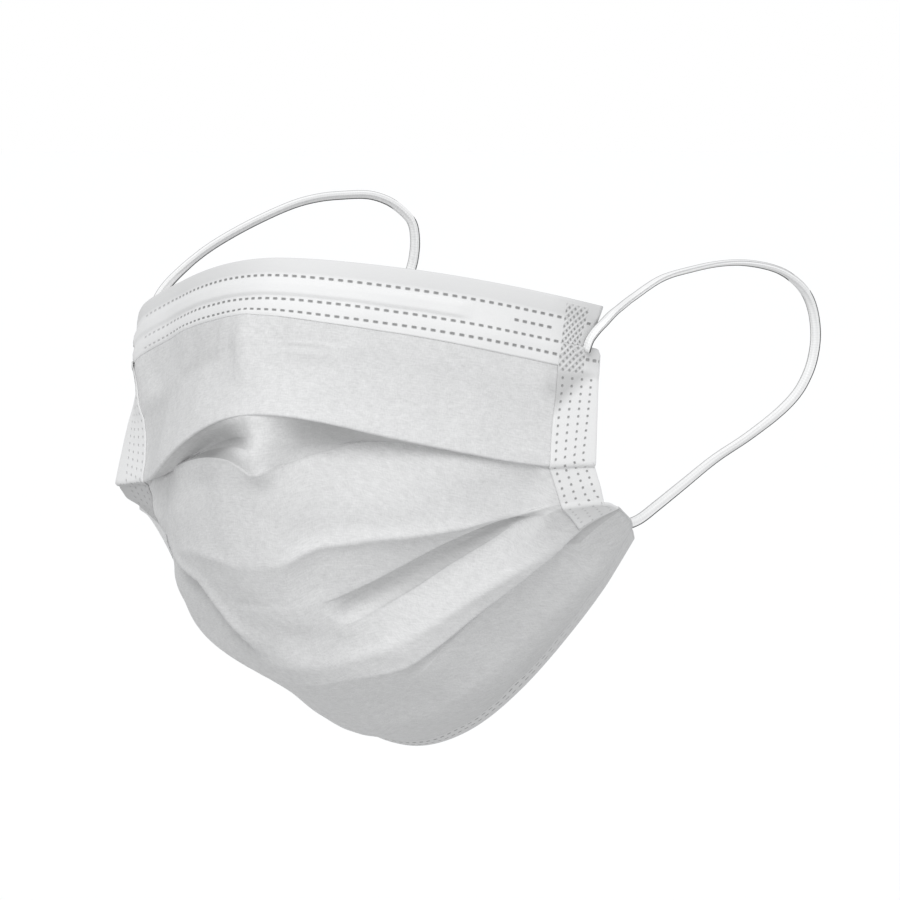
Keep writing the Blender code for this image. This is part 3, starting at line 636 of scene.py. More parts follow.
def shape_cloth(points, across, marks):
    """Adds the strokes and the slow waves, which die out where the hems and bands hold it."""
    far, down = cloth_distances(points, across)
    calm = np.ones_like(down)
    for name in PLEATS:
        first = LINE_NUMBERS[name]
        start = down[np.argmin(np.abs(marks - first))]
        stop = down[np.argmin(np.abs(marks - first - TUCK_AFTER))]
        beyond = np.maximum(np.maximum(start - down, down - stop), 0.0)
        calm = calm * smooth(beyond / 7.0)
    height = cloth_waves(far, down) * calm
    for stroke in STROKES:
        height = height + stroke_height(stroke, across, marks, far, down)
    held = smooth((1.0 - np.abs(across)) / 0.16) * smooth(down / 16.0)
    held = held * smooth((down[-1] - down) / 12.0)
    return points + panel_directions(across, marks) * (height * held)[..., None]


def painted_fold_shades(points, across, marks):
    """Painted shade on the cloth from 0 to 1, row by row and column by column: in the pleats' pockets,
    in soft patches and below each drop.
    """
    result = np.zeros((len(marks), len(across)))
    # Painted shade in each pleat's pocket
    for name in POCKET_PAINTED_SHADES:
        first = LINE_NUMBERS[name]
        upper, middle, lower, line = (through(POCKET_PAINTED_SHADES[name], i, across) for i in range(1, 5))
        none = np.zeros_like(upper)
        places = (first, first + 0.3, first + 1.2, first + 2.5, first + 4.2, first + 5.0,
                  first + 5.3, first + 5.7, first + 6.3)
        values = np.stack([none, upper, upper, middle, lower, lower, line, line * 0.5, none])
        for j in range(len(across)):
            result[:, j] += np.interp(marks, places, values[:, j], left=0.0, right=0.0)
    # Soft patches of painted shade
    for patch in PAINTED_SHADE_PATCHES:
        off = ((across - patch.across) / patch.wide) ** 2
        away = ((marks - patch.line) / patch.tall) ** 2
        result += patch.grey * np.exp(-off[None, :] - away[:, None])
    # Painted shadow on the lower side of each drop
    far, down = cloth_distances(points, across)
    for stroke in STROKES:
        if stroke.kind == "drop":
            fallen = -stroke_height(stroke, across, marks, far, down) / stroke.height
            result += 0.55 * np.clip(fallen * 1.4, 0.0, 1.0)
    return result


def make_body_surface():
    across = body_stations()
    points, marks = rounded_section(body_keys(across))
    points = curl_far_end(points, across)
    painted_shades = painted_fold_shades(points, across, marks)
    points = shape_cloth(points, across, marks)
    return across, points, slant_near_end(points.copy(), across), marks, painted_shades


# Mesh making


def new_object(name, vertices, faces, uvs, shade):
    """A mesh object from points in millimetres, with a UV map in hundreds of millimetres and
    mostly a shade for each point. That is the painted shade of the cloth's folds, the number of the
    section's line on the side bands, by which their painted shade is placed, and on the elastic how
    near its lower or upper rim is, for its painted shade lines."""
    mesh = bpy.data.meshes.new(name)
    mesh.from_pydata((np.asarray(vertices) * MM).tolist(), [], faces)
    layer = mesh.uv_layers.new(name="cloth")
    corner = np.empty(len(mesh.loops), dtype=np.int32)
    mesh.loops.foreach_get("vertex_index", corner)
    layer.data.foreach_set("uv", (uvs[corner] / UV_MM).astype(np.float32).ravel())
    if shade is not None:
        grey = mesh.attributes.new("shade", "FLOAT", "POINT")
        grey.data.foreach_set("value", np.asarray(shade, dtype=np.float32).ravel())
    mesh.shade_smooth()
    item = bpy.data.objects.new(name, mesh)
    bpy.context.scene.collection.objects.link(item)
    return item


def grid_faces(rows, columns, ring=False):
    faces = []
    across = columns if ring else columns - 1
    for i in range(rows - 1):
        for j in range(across):
            k = (j + 1) % columns
            faces.append((i * columns + j, (i + 1) * columns + j,
                          (i + 1) * columns + k, i * columns + k))
    return faces


def stand_in(item, node, material):
    """Gives a piece its material, hangs it under the root body and hides the solid that it shows."""
    item.data.materials.append(material)
    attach(item, "root")
    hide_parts(node)
    return item


def sheet_object(name, points, uvs, wall, shade=None):
    """A sheet with a wall of its own, from a grid of points."""
    rows, columns = points.shape[:2]
    item = new_object(name, points.reshape(-1, 3), grid_faces(rows, columns), uvs.reshape(-1, 2),
                      shade)
    solid = item.modifiers.new("wall", "SOLIDIFY")
    solid.thickness = wall * MM
    solid.offset = 0.0
    solid.use_rim = True
    bpy.ops.object.select_all(action="DESELECT")
    item.select_set(True)
    bpy.context.view_layer.objects.active = item
    bpy.ops.object.modifier_apply(modifier=solid.name)
    item.select_set(False)
    return item


# Materials


def operation(name, swapped=False):
    """A method that works out one math operation of an amount and other values."""
    def method(self, *others):
        values = (*others, self) if swapped else (self, *others)
        return self.finish.node("ShaderNodeMath", {"operation": name}, values)
    return method


class Amount:
    """A number or colour that a finish works out with its nodes."""

    def __init__(self, finish, socket):
        self.finish = finish
        self.socket = socket

    __add__ = __radd__ = operation("ADD")
    __sub__ = operation("SUBTRACT")
    __rsub__ = operation("SUBTRACT", swapped=True)
    __mul__ = __rmul__ = operation("MULTIPLY")
    __truediv__ = operation("DIVIDE")
    __abs__ = operation("ABSOLUTE")
    wrapped = operation("FRACT")
    sine = operation("SINE")
    at_least = operation("MAXIMUM")
    at_most = operation("MINIMUM")

    def clamped(self):
        return self.at_least(0.0).at_most(1.0)


class Finish:
    """One procedural material and the nodes that it is made of."""

    def __init__(self, name, roughness):
        self.material = bpy.data.materials.new(name)
        self.material.use_nodes = True
        self.tree = self.material.node_tree
        self.shader = self.tree.nodes["Principled BSDF"]
        self.shader.inputs["Roughness"].default_value = roughness

    def node(self, kind, settings, values, output=0):
        made = self.tree.nodes.new(kind)
        for key, value in settings.items():
            setattr(made, key, value)
        pairs = values.items() if isinstance(values, dict) else enumerate(values)
        for key, value in pairs:
            self.feed(made.inputs[key], value)
        return Amount(self, made.outputs[output])

    def feed(self, socket, value):
        if isinstance(value, Amount):
            self.tree.links.new(value.socket, socket)
        else:
            socket.default_value = value

    def set(self, name, value):
        self.feed(self.shader.inputs[name], value)

    def blend(self, low, high, factor):
        """A colour between two, given as grey levels or colours."""
        colours = [c if isinstance(c, (Amount, tuple)) else (c, c, c, 1.0) for c in (low, high)]
        mixed = self.tree.nodes.new("ShaderNodeMix")
        mixed.data_type = "RGBA"
        self.feed(mixed.inputs["Factor"], factor)
        self.feed(mixed.inputs[6], colours[0])
        self.feed(mixed.inputs[7], colours[1])
        return Amount(self, mixed.outputs[2])

    def noise(self, place, scale, detail):
        return self.node("ShaderNodeTexNoise", {}, {
            "Vector": place, "Scale": scale, "Detail": detail})

    def cloth_place(self):
        """Millimetres across and down the cloth, and the same as one vector."""
        place = self.node("ShaderNodeUVMap", {"uv_map": "cloth"}, [])
        vector = self.node("ShaderNodeVectorMath", {"operation": "SCALE"}, {
            "Vector": place, "Scale": UV_MM})
        across = self.node("ShaderNodeSeparateXYZ", {}, [vector])
        down = Amount(self, across.socket.node.outputs[1])
        return across, down, vector

    def shade(self):
        """The shade that the mesh keeps for each of its points, which places the painted shade."""
        return self.node("ShaderNodeAttribute", {"attribute_name": "shade"}, [], output=2)

    def bump(self, height, distance, strength):
        self.set("Normal", self.node("ShaderNodeBump", {}, {
            "Height": height, "Distance": distance, "Strength": strength}))


def object_place(finish):
    return finish.node("ShaderNodeTexCoord", {}, [], output=3)


def within(value, centre, half, soft):
    """1 within half of a centre and 0 outside it, with a soft edge."""
    return ((half - abs(value - centre)) / soft + 0.5).clamped()


def repeat(value, pitch, length, soft, start=0.0):
    """Marks of one length at an even pitch."""
    turned = ((value - start) / pitch).wrapped()
    return ((length / 2 - abs(turned - 0.5) * pitch) / soft + 0.5).clamped()


def lines_at(value, places, half):
    """Lines at several places."""
    return reduce(Amount.at_least, (within(value, place, half, 0.25) for place in places))


def fibre_grain(finish, vector):
    """Matted spunbond fibres: fine grain and longer streaks, from 0 to 1."""
    streak, cross = (finish.node("ShaderNodeVectorMath", {"operation": "MULTIPLY"}, [vector, sizes])
                     for sizes in ((0.35, 1.6, 1.0), (1.5, 0.5, 1.0)))
    return finish.noise(streak, 1.6, 3.0) * 0.4 + finish.noise(cross, 1.9, 3.0) * 0.35 + (
        finish.noise(vector, 0.45, 2.0) * 0.25)


def emboss_points(across, down, pitch):
    """The diagonal grid of tiny weld points that holds the fibres together."""
    turn = 2 * pi / pitch
    one = ((across + down) * turn).sine()
    two = ((across - down) * turn).sine()
    return (one * two * 1.6 - 0.4).clamped()


# Greys of the open cloth, of the welded strips and of the bottom hem, from dark to light fibres,
# and how sharply the fibres differ
CLOTH_GREYS = (0.56, 0.725)
STRIP_GREYS = (0.70, 0.80)
BOTTOM_HEM_GREYS = (0.58, 0.70)
CLOTH_CONTRAST = 2.8
STRIP_CONTRAST = 0.7
# Welds, in mm: the pitch of the cloth's own points, the dashes along the hems, the dots down the
# side bands, and the grid of slanting dots at the hem's ends
EMBOSS_PITCH = 1.8
DASH_PITCH = 2.46
DASH_LENGTH = 1.22
DOT_COLUMNS = (1.55, 4.25, 7.0, 9.6)
DOT_PITCH = 1.76
DOT_LENGTH = 0.48
HATCH_MIDDLE = 80.1
HATCH_HALF = 3.5
HATCH_PITCHES = (1.909, 1.83)


def fabric_finish():
    finish = Finish("spunbond_fabric", 0.9)
    across, down, vector = finish.cloth_place()
    grain = fibre_grain(finish, vector)
    points = emboss_points(across, down, EMBOSS_PITCH)
    speckle = (grain - 0.5) * CLOTH_CONTRAST + 0.5 - points * 0.02
    colour = finish.blend(*CLOTH_GREYS, speckle.clamped())
    # Painted shade of the folds, patches and drops darkens the base colour
    finish.set("Base Color", finish.blend(colour, 0.16, finish.shade() * 0.62))
    finish.bump(grain - points * 0.08, 0.00016, 0.8)
    return finish.material


def fibres(finish, greys, grain, contrast):
    """The colour of fibres between two greys."""
    return finish.blend(*greys, ((grain - 0.5) * contrast + 0.5).clamped())


def weld_dashes(across):
    return repeat(across, DASH_PITCH, DASH_LENGTH, 0.35) * within(across, 8.6, 77.1, 0.3)


def top_hem_finish():
    """The top hem, with rows of weld dashes and, at its ends, the slanting grid of welds. Its near
    end is darkened by painted shade.
    """
    finish = Finish("top_hem_weld", 0.85)
    across, down, vector = finish.cloth_place()
    grain = fibre_grain(finish, vector)
    dash = weld_dashes(across)
    fade = ((across + 92.0) / 62.0).clamped().at_least(0.4)
    marks = lines_at(down, HEM_PATTERN[1:4], 0.28) * dash
    short = within(down, 7.3, 0.30, 0.25) * within(abs(across), 67.4, 6.4, 0.2)
    marks = marks.at_least(short * dash * across.clamped())
    colour = fibres(finish, STRIP_GREYS, grain, STRIP_CONTRAST)
    # Greyer along its top edge
    colour = finish.blend(colour, 0.64, within(down, 0.0, 3.6, 0.8) * 0.75)
    # Painted shade towards the near end
    colour = finish.blend(colour, 0.48, ((across - 72.0) / 12.0).clamped() * 0.5)
    dots, ridges = weld_hatch(across, down, 0.9, 15.6)
    colour = finish.blend(colour, 0.52, ridges * 0.5)
    inside = within(abs(across), HATCH_MIDDLE, HATCH_HALF + 0.1, 0.3)
    press = (marks * (1.0 - inside * 0.8) * fade).at_least(dots * 0.85)
    finish.set("Base Color", finish.blend(colour, 0.26, press))
    finish.bump(grain * 0.25 - press * 1.4 - ridges * 0.5, 0.00018, 0.9)
    return finish.material


def bottom_hem_finish():
    """The bottom hem, with rows of weld dashes that fade towards its near end."""
    finish = Finish("bottom_hem_weld", 0.85)
    across, down, vector = finish.cloth_place()
    grain = fibre_grain(finish, vector)
    marks = lines_at(down, (4.4, 8.2), 0.28) * weld_dashes(across)
    colour = fibres(finish, BOTTOM_HEM_GREYS, grain, STRIP_CONTRAST)
    press = marks * (1.0 - ((across - 44.0) / 24.0).clamped() * 0.8)
    finish.set("Base Color", finish.blend(colour, 0.30, press))
    finish.bump(grain * 0.25 - press * 0.8, 0.00018, 0.9)
    return finish.material


def weld_hatch(across, down, top, bottom):
    """The grid of slanting dots, with grooves along it, where the hem's end is welded."""
    far = abs(across)
    zone = within(far, HATCH_MIDDLE, HATCH_HALF, 0.3) * within(
        down, (top + bottom) / 2, (bottom - top) / 2, 0.5)
    over = (far + down) / HATCH_PITCHES[0]
    along = (far - down) / HATCH_PITCHES[1]
    groove = ((0.36 - abs(over.wrapped() - 0.5)) * 5.0 + 0.3).clamped()
    dots = ((0.20 - abs(over.wrapped() - 0.5)) * 5.0 + 0.5).clamped() * (
        ((0.19 - abs(along.wrapped() - 0.5)) * 5.0 + 0.5).clamped())
    return zone * dots, zone * groove


def band_finish(name, strength, lower_shade_grey, dent_shade_grey):
    """A side band with its dots. Painted shade darkens its lower part, its top corner and its top."""
    finish = Finish(name, 0.85)
    across, down, vector = finish.cloth_place()
    grain = fibre_grain(finish, vector)
    far = abs(across) - (HALF_WIDTH - SIDE_BAND_WIDTH)
    columns = lines_at(far, DOT_COLUMNS, 0.26)
    section = finish.shade()
    open_band = ((21.4 - section) / 0.3).clamped()
    dots = columns * repeat(down, DOT_PITCH, DOT_LENGTH, 0.25)
    dots = dots * ((down - 17.2) / 0.3).clamped() * open_band
    row = within(down, 13.5, 0.34, 0.25) * repeat(far, 2.0, 1.0, 0.3, 6.9) * within(
        far, 9.6, 2.1, 0.3)
    hatch, ridges = weld_hatch(across, down, 9.0, 17.0)
    faint = 1.0 - ((section - LINE_NUMBERS["second_fold"]) / 0.3).clamped() * 0.6
    dots = (dots * faint).at_least(row).at_least(hatch * 0.85)
    colour = fibres(finish, STRIP_GREYS, grain, STRIP_CONTRAST)
    # Painted shade: below the first fold, at the top corner and along the top
    lower = within(section, 8.0, 4.9, 0.3) * lower_shade_grey
    dent_shade = ((27.5 - down - far * 0.9) / 4.0).clamped() * ((down - 14.0) / 4.0).clamped() * dent_shade_grey
    top = ((18.5 - down) / 5.0).clamped() * 0.4
    colour = finish.blend(colour, 0.40, lower.at_least(dent_shade * 0.6).at_least(top))
    cloth = fibres(finish, CLOTH_GREYS, grain, CLOTH_CONTRAST)
    colour = finish.blend(cloth, colour, open_band)
    colour = finish.blend(colour, 0.52, ridges * 0.5)
    finish.set("Base Color", finish.blend(colour, 0.26, dots * (0.9 * strength)))
    finish.bump(grain * 0.25 - dots * 1.4 - ridges * 0.5, 0.00018, 0.9)
    return finish.material


def elastic_finish():
    finish = Finish("knitted_elastic", 0.8)
    around, along, vector = finish.cloth_place()
    ribs = (around * (2 * pi / 0.864)).sine()
    loops = (along * (2 * pi / 0.7)).sine()
    knit = ribs * 0.5 + loops * 0.2 + finish.noise(vector, 1.5, 2.0) * 0.5
    colour = finish.blend(0.74, 0.90, (knit * 0.5 + 0.5).clamped())
    rim = finish.shade()
    # Painted shade lines along the rims: grey along the upper one and black along the lower one
    colour = finish.blend(colour, 0.42, ((-0.84 - rim) / 0.08).clamped())
    colour = finish.blend(colour, 0.05, ((rim - 0.74) / 0.1).clamped())
    finish.set("Base Color", colour)
    finish.bump(knit, 0.00012, 0.7)
    return finish.material


def wire_finish():
    finish = Finish("coated_wire", 0.4)
    place = object_place(finish)
    mottle = finish.noise(place, 900.0, 2.0)
    finish.set("Base Color", finish.blend(0.78, 0.86, mottle))
    finish.set("Roughness", mottle * 0.2 + 0.35)
    finish.bump(mottle, 0.00005, 0.4)
    return finish.material


def floor_finish():
    finish = Finish("pale_floor", 0.95)
    place = object_place(finish)
    distance = finish.node("ShaderNodeVectorMath", {"operation": "LENGTH"}, [place], output=1)
    # Painted shade: the floor is darker near the mask, under it, which also dims the light bounced up
    # onto the mask, and white further out
    far = ((distance - 0.45) / 1.3).clamped()
    speck = finish.noise(place, 60.0, 2.0) * 0.01
    finish.set("Base Color", finish.blend(0.68, 1.0, far - speck))
    finish.bump(speck, 0.0005, 0.2)
    return finish.material


# Ear loops
LOOP_WIDTH = 2.8
LOOP_THICK = 1.6
LOOP_SIDES = 18
LOOP_SQUARENESS = 0.75
LOOP_STEP = 0.8
ROUTE_STEPS = 12
LEFT_LOOP_ROUTE = [
    (64.8, 42.0, -23.3), (65.4, 41.7, -21.8), (66.0, 41.9, -20.3), (67.3, 42.8, -18.2),
    (68.5, 45.0, -16.3), (69.2, 49.0, -14.3), (69.3, 54.5, -12.9), (69.6, 62.5, -10.9),
    (73.5, 73, -6.5), (78, 84, -4.5), (82, 93, -3.5), (86.5, 100, -3.5), (91.5, 107, -5),
    (95, 111.5, -7.5), (97.5, 116, -11.5), (98.5, 119.5, -16.5), (98.5, 122, -23),
    (97.5, 123, -29), (96, 122.5, -34), (93.5, 121, -39), (89.5, 117.5, -44), (83, 112, -50),
    (76, 106.5, -55.5), (69.5, 100, -62), (64.5, 95, -67), (61, 90.5, -70.5),
    (58.5, 85.5, -71.8), (59.2, 81, -71.5), (60.3, 77, -72),
]
RIGHT_LOOP_ROUTE = [
    (-57.2, 46.6, -21.7), (-59.3, 49.9, -22), (-61.2, 53.4, -21), (-62.4, 56.5, -16.5),
    (-61, 59.5, -11.5), (-58, 64.5, -6.5), (-54, 71, -1.5), (-49, 78.5, 3), (-43.5, 86.5, 7),
    (-38.5, 94, 10), (-34, 100, 11.5), (-29.5, 105.5, 12), (-24.5, 110.5, 12),
    (-20.5, 114, 10.5), (-17.5, 116.5, 8), (-15, 118.5, 4.5), (-14.5, 119.5, 0),
    (-15, 120, -4.5), (-16, 120, -8.5), (-18.5, 118.5, -17), (-23.5, 115, -27),
    (-29, 110.5, -37), (-36.5, 104.5, -48), (-43.5, 98.5, -60), (-49, 93.5, -70),
    (-52, 89.3, -75.3), (-53.4, 84.9, -76.6), (-54.5, 80.6, -76.8), (-56, 77, -77.6),
]
# How far round its own line the flat elastic is turned, in degrees, at shares of its length
LEFT_LOOP_TURN = [(0.0, 95), (0.1, 82), (0.3, 80), (0.45, 70), (0.6, 20), (0.75, -10), (1.0, 40)]
RIGHT_LOOP_TURN = [(0.0, 0), (0.15, 70), (0.5, 90), (0.7, 60), (1.0, 20)]


def smooth_route(points):
    """A smooth curve through the route's own points."""
    route = np.array(points, dtype=float)
    ends = np.concatenate([[route[0] * 2 - route[1]], route, [route[-1] * 2 - route[-2]]])
    fine = []
    for a, b, c, d in zip(ends, ends[1:], ends[2:], ends[3:]):
        for t in np.arange(ROUTE_STEPS) / ROUTE_STEPS:
            fine.append(0.5 * (2 * b + (c - a) * t + (2 * a - 5 * b + 4 * c - d) * t * t
                               + (3 * b - a - 3 * c + d) * t ** 3))
    fine.append(route[-1])
    fine = np.array(fine)
    length = arc_lengths(fine)
    even = np.linspace(0.0, length[-1], int(length[-1] / LOOP_STEP) + 1)
    return between(even, length, fine), even


def loop_object(name, node, route, turns, material):
    """One flat elastic along its route. Its shade is -1 at its upper rim and 1 at its lower rim, as
    the camera sees them, and places painted shade lines along both.
    """
    line, travelled = smooth_route(route)
    total = travelled[-1]
    ahead = unit(np.gradient(line, axis=0))
    side = np.empty_like(line)
    current = unit(np.cross(ahead[0], (0.0, 0.0, 1.0)))
    for i, tangent in enumerate(ahead):
        current = unit(current - tangent * np.dot(current, tangent))
        side[i] = current
    turn = np.radians(np.interp(travelled / total, *np.array(turns).T))[:, None]
    up = np.cross(ahead, side)
    wide = side * np.cos(turn) + up * np.sin(turn)
    thin = -side * np.sin(turn) + up * np.cos(turn)
    count = LOOP_SIDES
    angle = np.arange(count) * 2 * pi / count
    flat, high = (np.sign(part) * np.abs(part) ** LOOP_SQUARENESS * size / 2 for part, size in
                  ((np.cos(angle), LOOP_WIDTH), (np.sin(angle), LOOP_THICK)))
    pressed = 0.7 + 0.3 * smooth(travelled / 6.0)
    high = pressed[:, None] * high
    rings = line[:, None] + wide[:, None] * flat[None, :, None] + thin[:, None] * high[..., None]
    rows = len(line)
    lower_side = unit(np.cross(ahead, TOWARDS))
    below = lower_side @ (SIDEWAYS - UPWARDS)
    reach = np.einsum("rci,ri->rc", rings - line[:, None], lower_side)
    reach = reach / np.abs(reach).max(axis=1, keepdims=True)
    rim = reach * (np.sign(below) * smooth(np.abs(below) / 0.3))[:, None]
    vertices = np.concatenate([rings.reshape(-1, 3), line[:1], line[-1:]])
    faces = grid_faces(rows, count, ring=True)
    first, last = rows * count, rows * count + 1
    faces += [(first, j, (j + 1) % count) for j in range(count)]
    base = (rows - 1) * count
    faces += [(last, base + (j + 1) % count, base + j) for j in range(count)]
    around = np.tile(angle * 1.1, rows)
    along = np.repeat(travelled, count)
    uvs = np.concatenate([np.stack([around, along], axis=-1), [[0, 0], [0, total]]])
    item = new_object(name, vertices, faces, uvs, np.concatenate([rim.ravel(), [0.0, 0.0]]))
    shape = bmesh.new()
    shape.from_mesh(item.data)
    bmesh.ops.recalc_face_normals(shape, faces=shape.faces)
    shape.to_mesh(item.data)
    shape.free()
    stand_in(item, node, material)
    return item


elastic = elastic_finish()
loop_object("left_elastic", "ear_loop_left", LEFT_LOOP_ROUTE, LEFT_LOOP_TURN, elastic)
loop_object("right_elastic", "ear_loop_right", RIGHT_LOOP_ROUTE, RIGHT_LOOP_TURN, elastic)

# Body
across, uncut, surface, marks, painted_shades = make_body_surface()
far_mm, down_mm = cloth_distances(surface, across)


def body_object():
    uvs = np.stack([far_mm, down_mm], axis=-1)
    item = sheet_object("pleated_fabric", surface, uvs, BODY_WALL, painted_shades)
    return stand_in(item, "mask_body", fabric_finish())


body = body_object()


def on_cloth(distances, from_bottom=False):
    """Points on the body at distances down from its top edge (or up from its bottom edge). The
    distances are one for each row, or one for each row and column."""
    lengths = down_mm[-1] - down_mm if from_bottom else down_mm
    order = slice(None, None, -1) if from_bottom else slice(None)
    rows = len(distances)
    distances = np.broadcast_to(np.reshape(distances, (rows, -1)), (rows, len(across)))
    return np.stack([between(distances[:, j], lengths[order, j], surface[order, j])
                     for j in range(len(across))], axis=1)


def hem_distances(pattern, places):
    """The true distances down the cloth of distances in the top hem's pattern."""
    stops = np.stack([through(HEM_STOPS, i, places) for i in range(1, 5)])
    stops = np.concatenate([np.zeros_like(stops[:1]), stops])
    return np.stack([np.interp(pattern, HEM_PATTERN, column) for column in stops.T], axis=1)


HEM_LIFT = BODY_WALL / 2 + STRIP_WALL / 2 + 0.02
# The folded edge of a strip goes round from its inner side to its outer side by these angles
TURN_ANGLES = np.radians([30, 60, 90, 120, 150])
TURN_REACH = 1.2
BACK_ROWS = 11


def hem_object(name, node, width, profile, from_bottom, material):
    """A strip folded over the top or bottom edge, as far off the cloth as its profile says."""
    distances = np.linspace(0.0, width, 40)
    true = distances if from_bottom else hem_distances(distances, across)
    leg = on_cloth(true, from_bottom)
    normals = outward_normals(leg)
    if from_bottom:
        normals = -normals
    heights = profile(distances[:, None], across[None, :] * HALF_WIDTH)
    outer = leg + normals * heights[..., None]
    inner = (leg - normals * HEM_LIFT)[:BACK_ROWS]
    edge_in = unit(leg[0] - leg[1])
    turn = [leg[0] + edge_in * HEM_LIFT * TURN_REACH * sin(t) - normals[0] * HEM_LIFT * cos(t)
            for t in TURN_ANGLES]
    grid = np.concatenate([inner[::-1], turn, outer])
    lead = np.concatenate([-1.5 - distances[:BACK_ROWS][::-1],
                           np.linspace(-1.2, -0.2, len(turn)), distances])
    down = np.broadcast_to(lead[:, None], grid.shape[:2])
    uvs = np.stack([np.broadcast_to(across * HALF_WIDTH, down.shape), down], axis=-1)
    item = sheet_object(name, grid, uvs, STRIP_WALL)
    return stand_in(item, node, material)


def top_profile(distance, across_mm):
    """How far the top hem stands off the body's middle: over the wire, and puffed between welds."""
    far_side = across_mm < 0
    end = smooth((np.where(far_side, 84.0, WIRE_HALF_LENGTH + 4.0) - np.abs(across_mm)) / 6.0)
    end = end * np.where(far_side, 1.0 - 0.35 * smooth((np.abs(across_mm) - 46.0) / 8.0), 1.0)
    over = smooth((distance - 4.6) / 2.0) * smooth((9.5 - distance) / 0.9)
    height = HEM_LIFT + 0.7 * end * over
    height = height + 0.14 * np.sin(pi * np.clip((distance - 10.4) / 3.1, 0, 1))
    height = height + 0.14 * np.sin(pi * np.clip(distance / 4.3, 0, 1))
    return height - np.where(far_side, 0.24, 0.14) * smooth((distance - 14.4) / 1.1)


def bottom_profile(distance, across_mm):
    height = HEM_LIFT + 0.12 * np.sin(pi * np.clip(distance / 4.4, 0, 1)) + 0.0 * across_mm
    return height - 0.26 * smooth((distance - 7.6) / 2.2)


top_hem = hem_object("top_hem_strip", "top_hem", TOP_HEM_WIDTH, top_profile, False,
                     top_hem_finish())
bottom_hem = hem_object("bottom_hem_strip", "bottom_hem", BOTTOM_HEM_WIDTH, bottom_profile, True,
                        bottom_hem_finish())


def between_columns(grid, places):
    """The cloth at other places across than its own columns."""
    low = np.clip(np.searchsorted(across, places) - 1, 0, len(across) - 2)
    part = ((places - across[low]) / (across[low + 1] - across[low]))[:, None]
    return grid[:, low] * (1 - part) + grid[:, low + 1] * part


BAND_CORNER = 1.4
BAND_TOP = {1.0: 10.3, -1.0: 12.0}
BAND_COLUMNS = 22
BAND_ROWS = 150
LOOP_ROOT = 83.6


def band_object(name, node, side, material):
    """A side band over the mask's edge, from the top hem, which it overlaps, to the bottom hem."""
    places = side * np.linspace(BAND_START - 0.003, 1.0, BAND_COLUMNS)
    columns = range(BAND_COLUMNS)
    strip = between_columns(uncut, places)
    lengths = arc_lengths(strip)
    total = lengths[-1, -1]
    from_edge = (1.0 - np.abs(places)) * HALF_WIDTH
    within_corner = (BAND_CORNER - from_edge).clip(0)
    corner = BAND_CORNER - np.sqrt(np.clip(BAND_CORNER ** 2 - within_corner ** 2, 0, None))
    first = BAND_TOP[side] + corner
    last = total - BOTTOM_HEM_WIDTH + 1.0
    share = np.linspace(0.0, 1.0, BAND_ROWS)[:, None]
    distances = first + (last - first) * share
    scale = lengths[-1] / total
    true = distances * (1.0 + (scale - 1.0) * np.clip(distances / 40.0, 0, 1))
    leg = np.stack([between(true[:, j], lengths[:, j], strip[:, j]) for j in columns], axis=1)
    normals = outward_normals(leg) * side
    hem_edge = hem_distances([TOP_HEM_WIDTH], places[-1:])[0, 0]
    sections = np.stack([np.interp(true[:, j], lengths[:, j], marks) for j in columns], axis=1)
    end = np.array([np.interp(LINE_NUMBERS["third_fold"], marks, lengths[:, j]) for j in columns])
    sunk = smooth((true - end + 0.9) / 1.4)
    welded = smooth((LOOP_ROOT - np.abs(places) * HALF_WIDTH) / 0.6)
    step = 0.34 - 0.28 * welded * (side > 0)
    lift = HEM_LIFT + step * smooth((hem_edge + 1.1 - distances) / 1.2)
    lift = lift - 0.25 * sunk - 0.24 * sunk
    root = np.exp(-((np.abs(places) * HALF_WIDTH - LOOP_ROOT) / 2.2) ** 2)
    lift = lift + 0.55 * root * smooth((13.6 - distances) / 2.4) * (side > 0)
    outer = leg + normals * lift[..., None]
    inner = leg - normals * HEM_LIFT
    edge_out = unit(leg[:, -1] - leg[:, -2])
    turn = [leg[:, -1] + edge_out * HEM_LIFT * TURN_REACH * sin(t)
            + normals[:, -1] * (lift[:, -1:] if cos(t) > 0 else HEM_LIFT) * cos(t)
            for t in TURN_ANGLES]
    back = inner[:, :2:-1]
    grid = np.concatenate([outer, np.stack(turn, axis=1), back], axis=1)
    sideways = arc_lengths(grid, axis=1)
    u = side * (HALF_WIDTH - SIDE_BAND_WIDTH + sideways)
    v, sections = (np.concatenate([rows] + [rows[:, -1:]] * (grid.shape[1] - BAND_COLUMNS), axis=1)
                   for rows in (distances, sections))
    item = sheet_object(name, grid, np.stack([u, v], axis=-1), STRIP_WALL, sections)
    return stand_in(item, node, material)


# The far band has more painted shade below its first fold, the near band painted shade at its top
# corner
left_band = band_object("left_band_strip", "side_band_left", 1.0,
                        band_finish("near_side_band", 1.0, 0.1, 1.15))
right_band = band_object("right_band_strip", "side_band_right", -1.0,
                         band_finish("far_side_band", 0.4, 0.65, 0.0))


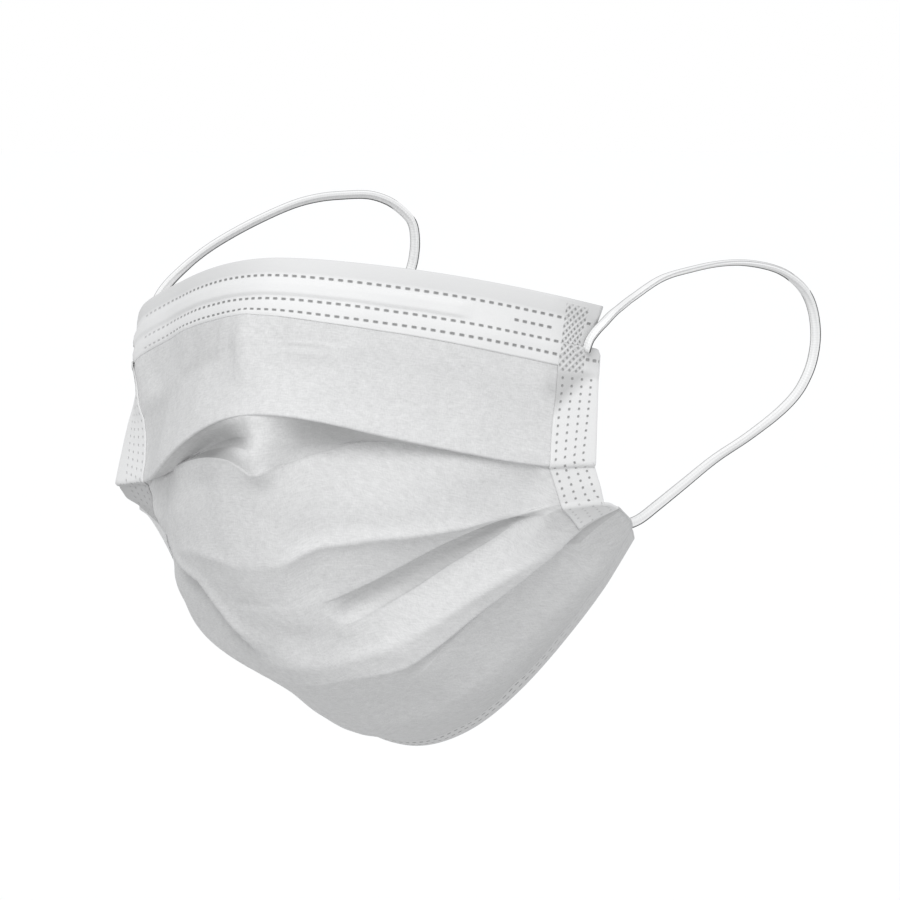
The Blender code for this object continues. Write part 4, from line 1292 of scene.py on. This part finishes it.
def wire_object():
    """The flat nose wire: a bar with bevelled edges, bent to lie inside the top hem."""
    bpy.ops.object.select_all(action="DESELECT")
    bpy.ops.mesh.primitive_cube_add(size=1.0, location=(0.0, 0.0, 0.0))
    item = bpy.context.active_object
    item.name = "flat_nose_wire"
    item.data.name = "flat_nose_wire"
    item.scale = (2 * WIRE_HALF_LENGTH * MM, WIRE_WIDTH * MM, 0.5 * MM)
    bpy.ops.object.transform_apply(location=True, rotation=True, scale=True)
    bpy.ops.object.mode_set(mode="EDIT")
    bpy.ops.mesh.select_all(action="SELECT")
    bpy.ops.mesh.bevel(offset=0.12 * MM, segments=2)
    shape = bmesh.from_edit_mesh(item.data)
    long_edges = [e for e in shape.edges
                  if abs((e.verts[0].co - e.verts[1].co).x) > WIRE_HALF_LENGTH * MM]
    bmesh.ops.subdivide_edges(shape, edges=long_edges, cuts=60, use_grid_fill=True)
    bmesh.update_edit_mesh(item.data)
    bpy.ops.object.mode_set(mode="OBJECT")
    drops = np.linspace(0.0, TOP_HEM_WIDTH, 30)
    middle = on_cloth(hem_distances(drops, across))
    normals = outward_normals(middle)
    mesh = item.data
    for vertex in mesh.vertices:
        x, y, z = (value / MM for value in vertex.co)
        share = np.clip([x / HALF_WIDTH], -1, 1)
        point, out = (between(WIRE_DROP - y, drops, between_columns(grid, share)[:, 0])
                      for grid in (middle, normals))
        vertex.co = (point + out * (WIRE_LIFT + z)) * MM
    mesh.shade_smooth()
    return stand_in(item, "nose_wire", wire_finish())


nose_wire = wire_object()

# Floor, light and background
FLOOR_LEVEL = -0.45
FLOOR_RADIUS = 14.0
SURROUND_LIGHT = 0.70
KEY_AZIMUTH = 16.0
KEY_ELEVATION = 40.0
KEY_SPREAD = 32.0
KEY_STRENGTH = 1.62


def make_studio():
    bpy.ops.object.select_all(action="DESELECT")
    bpy.ops.mesh.primitive_circle_add(vertices=96, radius=FLOOR_RADIUS, fill_type="NGON",
                                      location=(0.0, 0.0, 0.0))
    floor = bpy.context.active_object
    floor.name = "pale_floor"
    floor.location = (0.0, 0.0, FLOOR_LEVEL)
    floor.data.materials.append(floor_finish())
    world = bpy.data.worlds.new("white_studio")
    world.use_nodes = True
    tree = world.node_tree
    surround = tree.nodes["Background"]
    surround.inputs["Color"].default_value = (0.98, 0.99, 1.0, 1.0)
    surround.inputs["Strength"].default_value = SURROUND_LIGHT
    white = tree.nodes.new("ShaderNodeBackground")
    white.inputs["Color"].default_value = (1.0, 1.0, 1.0, 1.0)
    seen = tree.nodes.new("ShaderNodeLightPath")
    both = tree.nodes.new("ShaderNodeMixShader")
    tree.links.new(seen.outputs["Is Camera Ray"], both.inputs["Fac"])
    tree.links.new(surround.outputs["Background"], both.inputs[1])
    tree.links.new(white.outputs["Background"], both.inputs[2])
    tree.links.new(both.outputs["Shader"], tree.nodes["World Output"].inputs["Surface"])
    bpy.context.scene.world = world
    data = bpy.data.lights.new("soft_key", "SUN")
    data.angle = radians(KEY_SPREAD)
    data.energy = KEY_STRENGTH
    key = bpy.data.objects.new("soft_key", data)
    towards = -direction_to(KEY_AZIMUTH, KEY_ELEVATION)
    key.location = -towards
    key.rotation_euler = towards.to_track_quat("-Z", "Y").to_euler()
    bpy.context.scene.collection.objects.link(key)
    bpy.context.scene.view_settings.view_transform = "Standard"


make_studio()
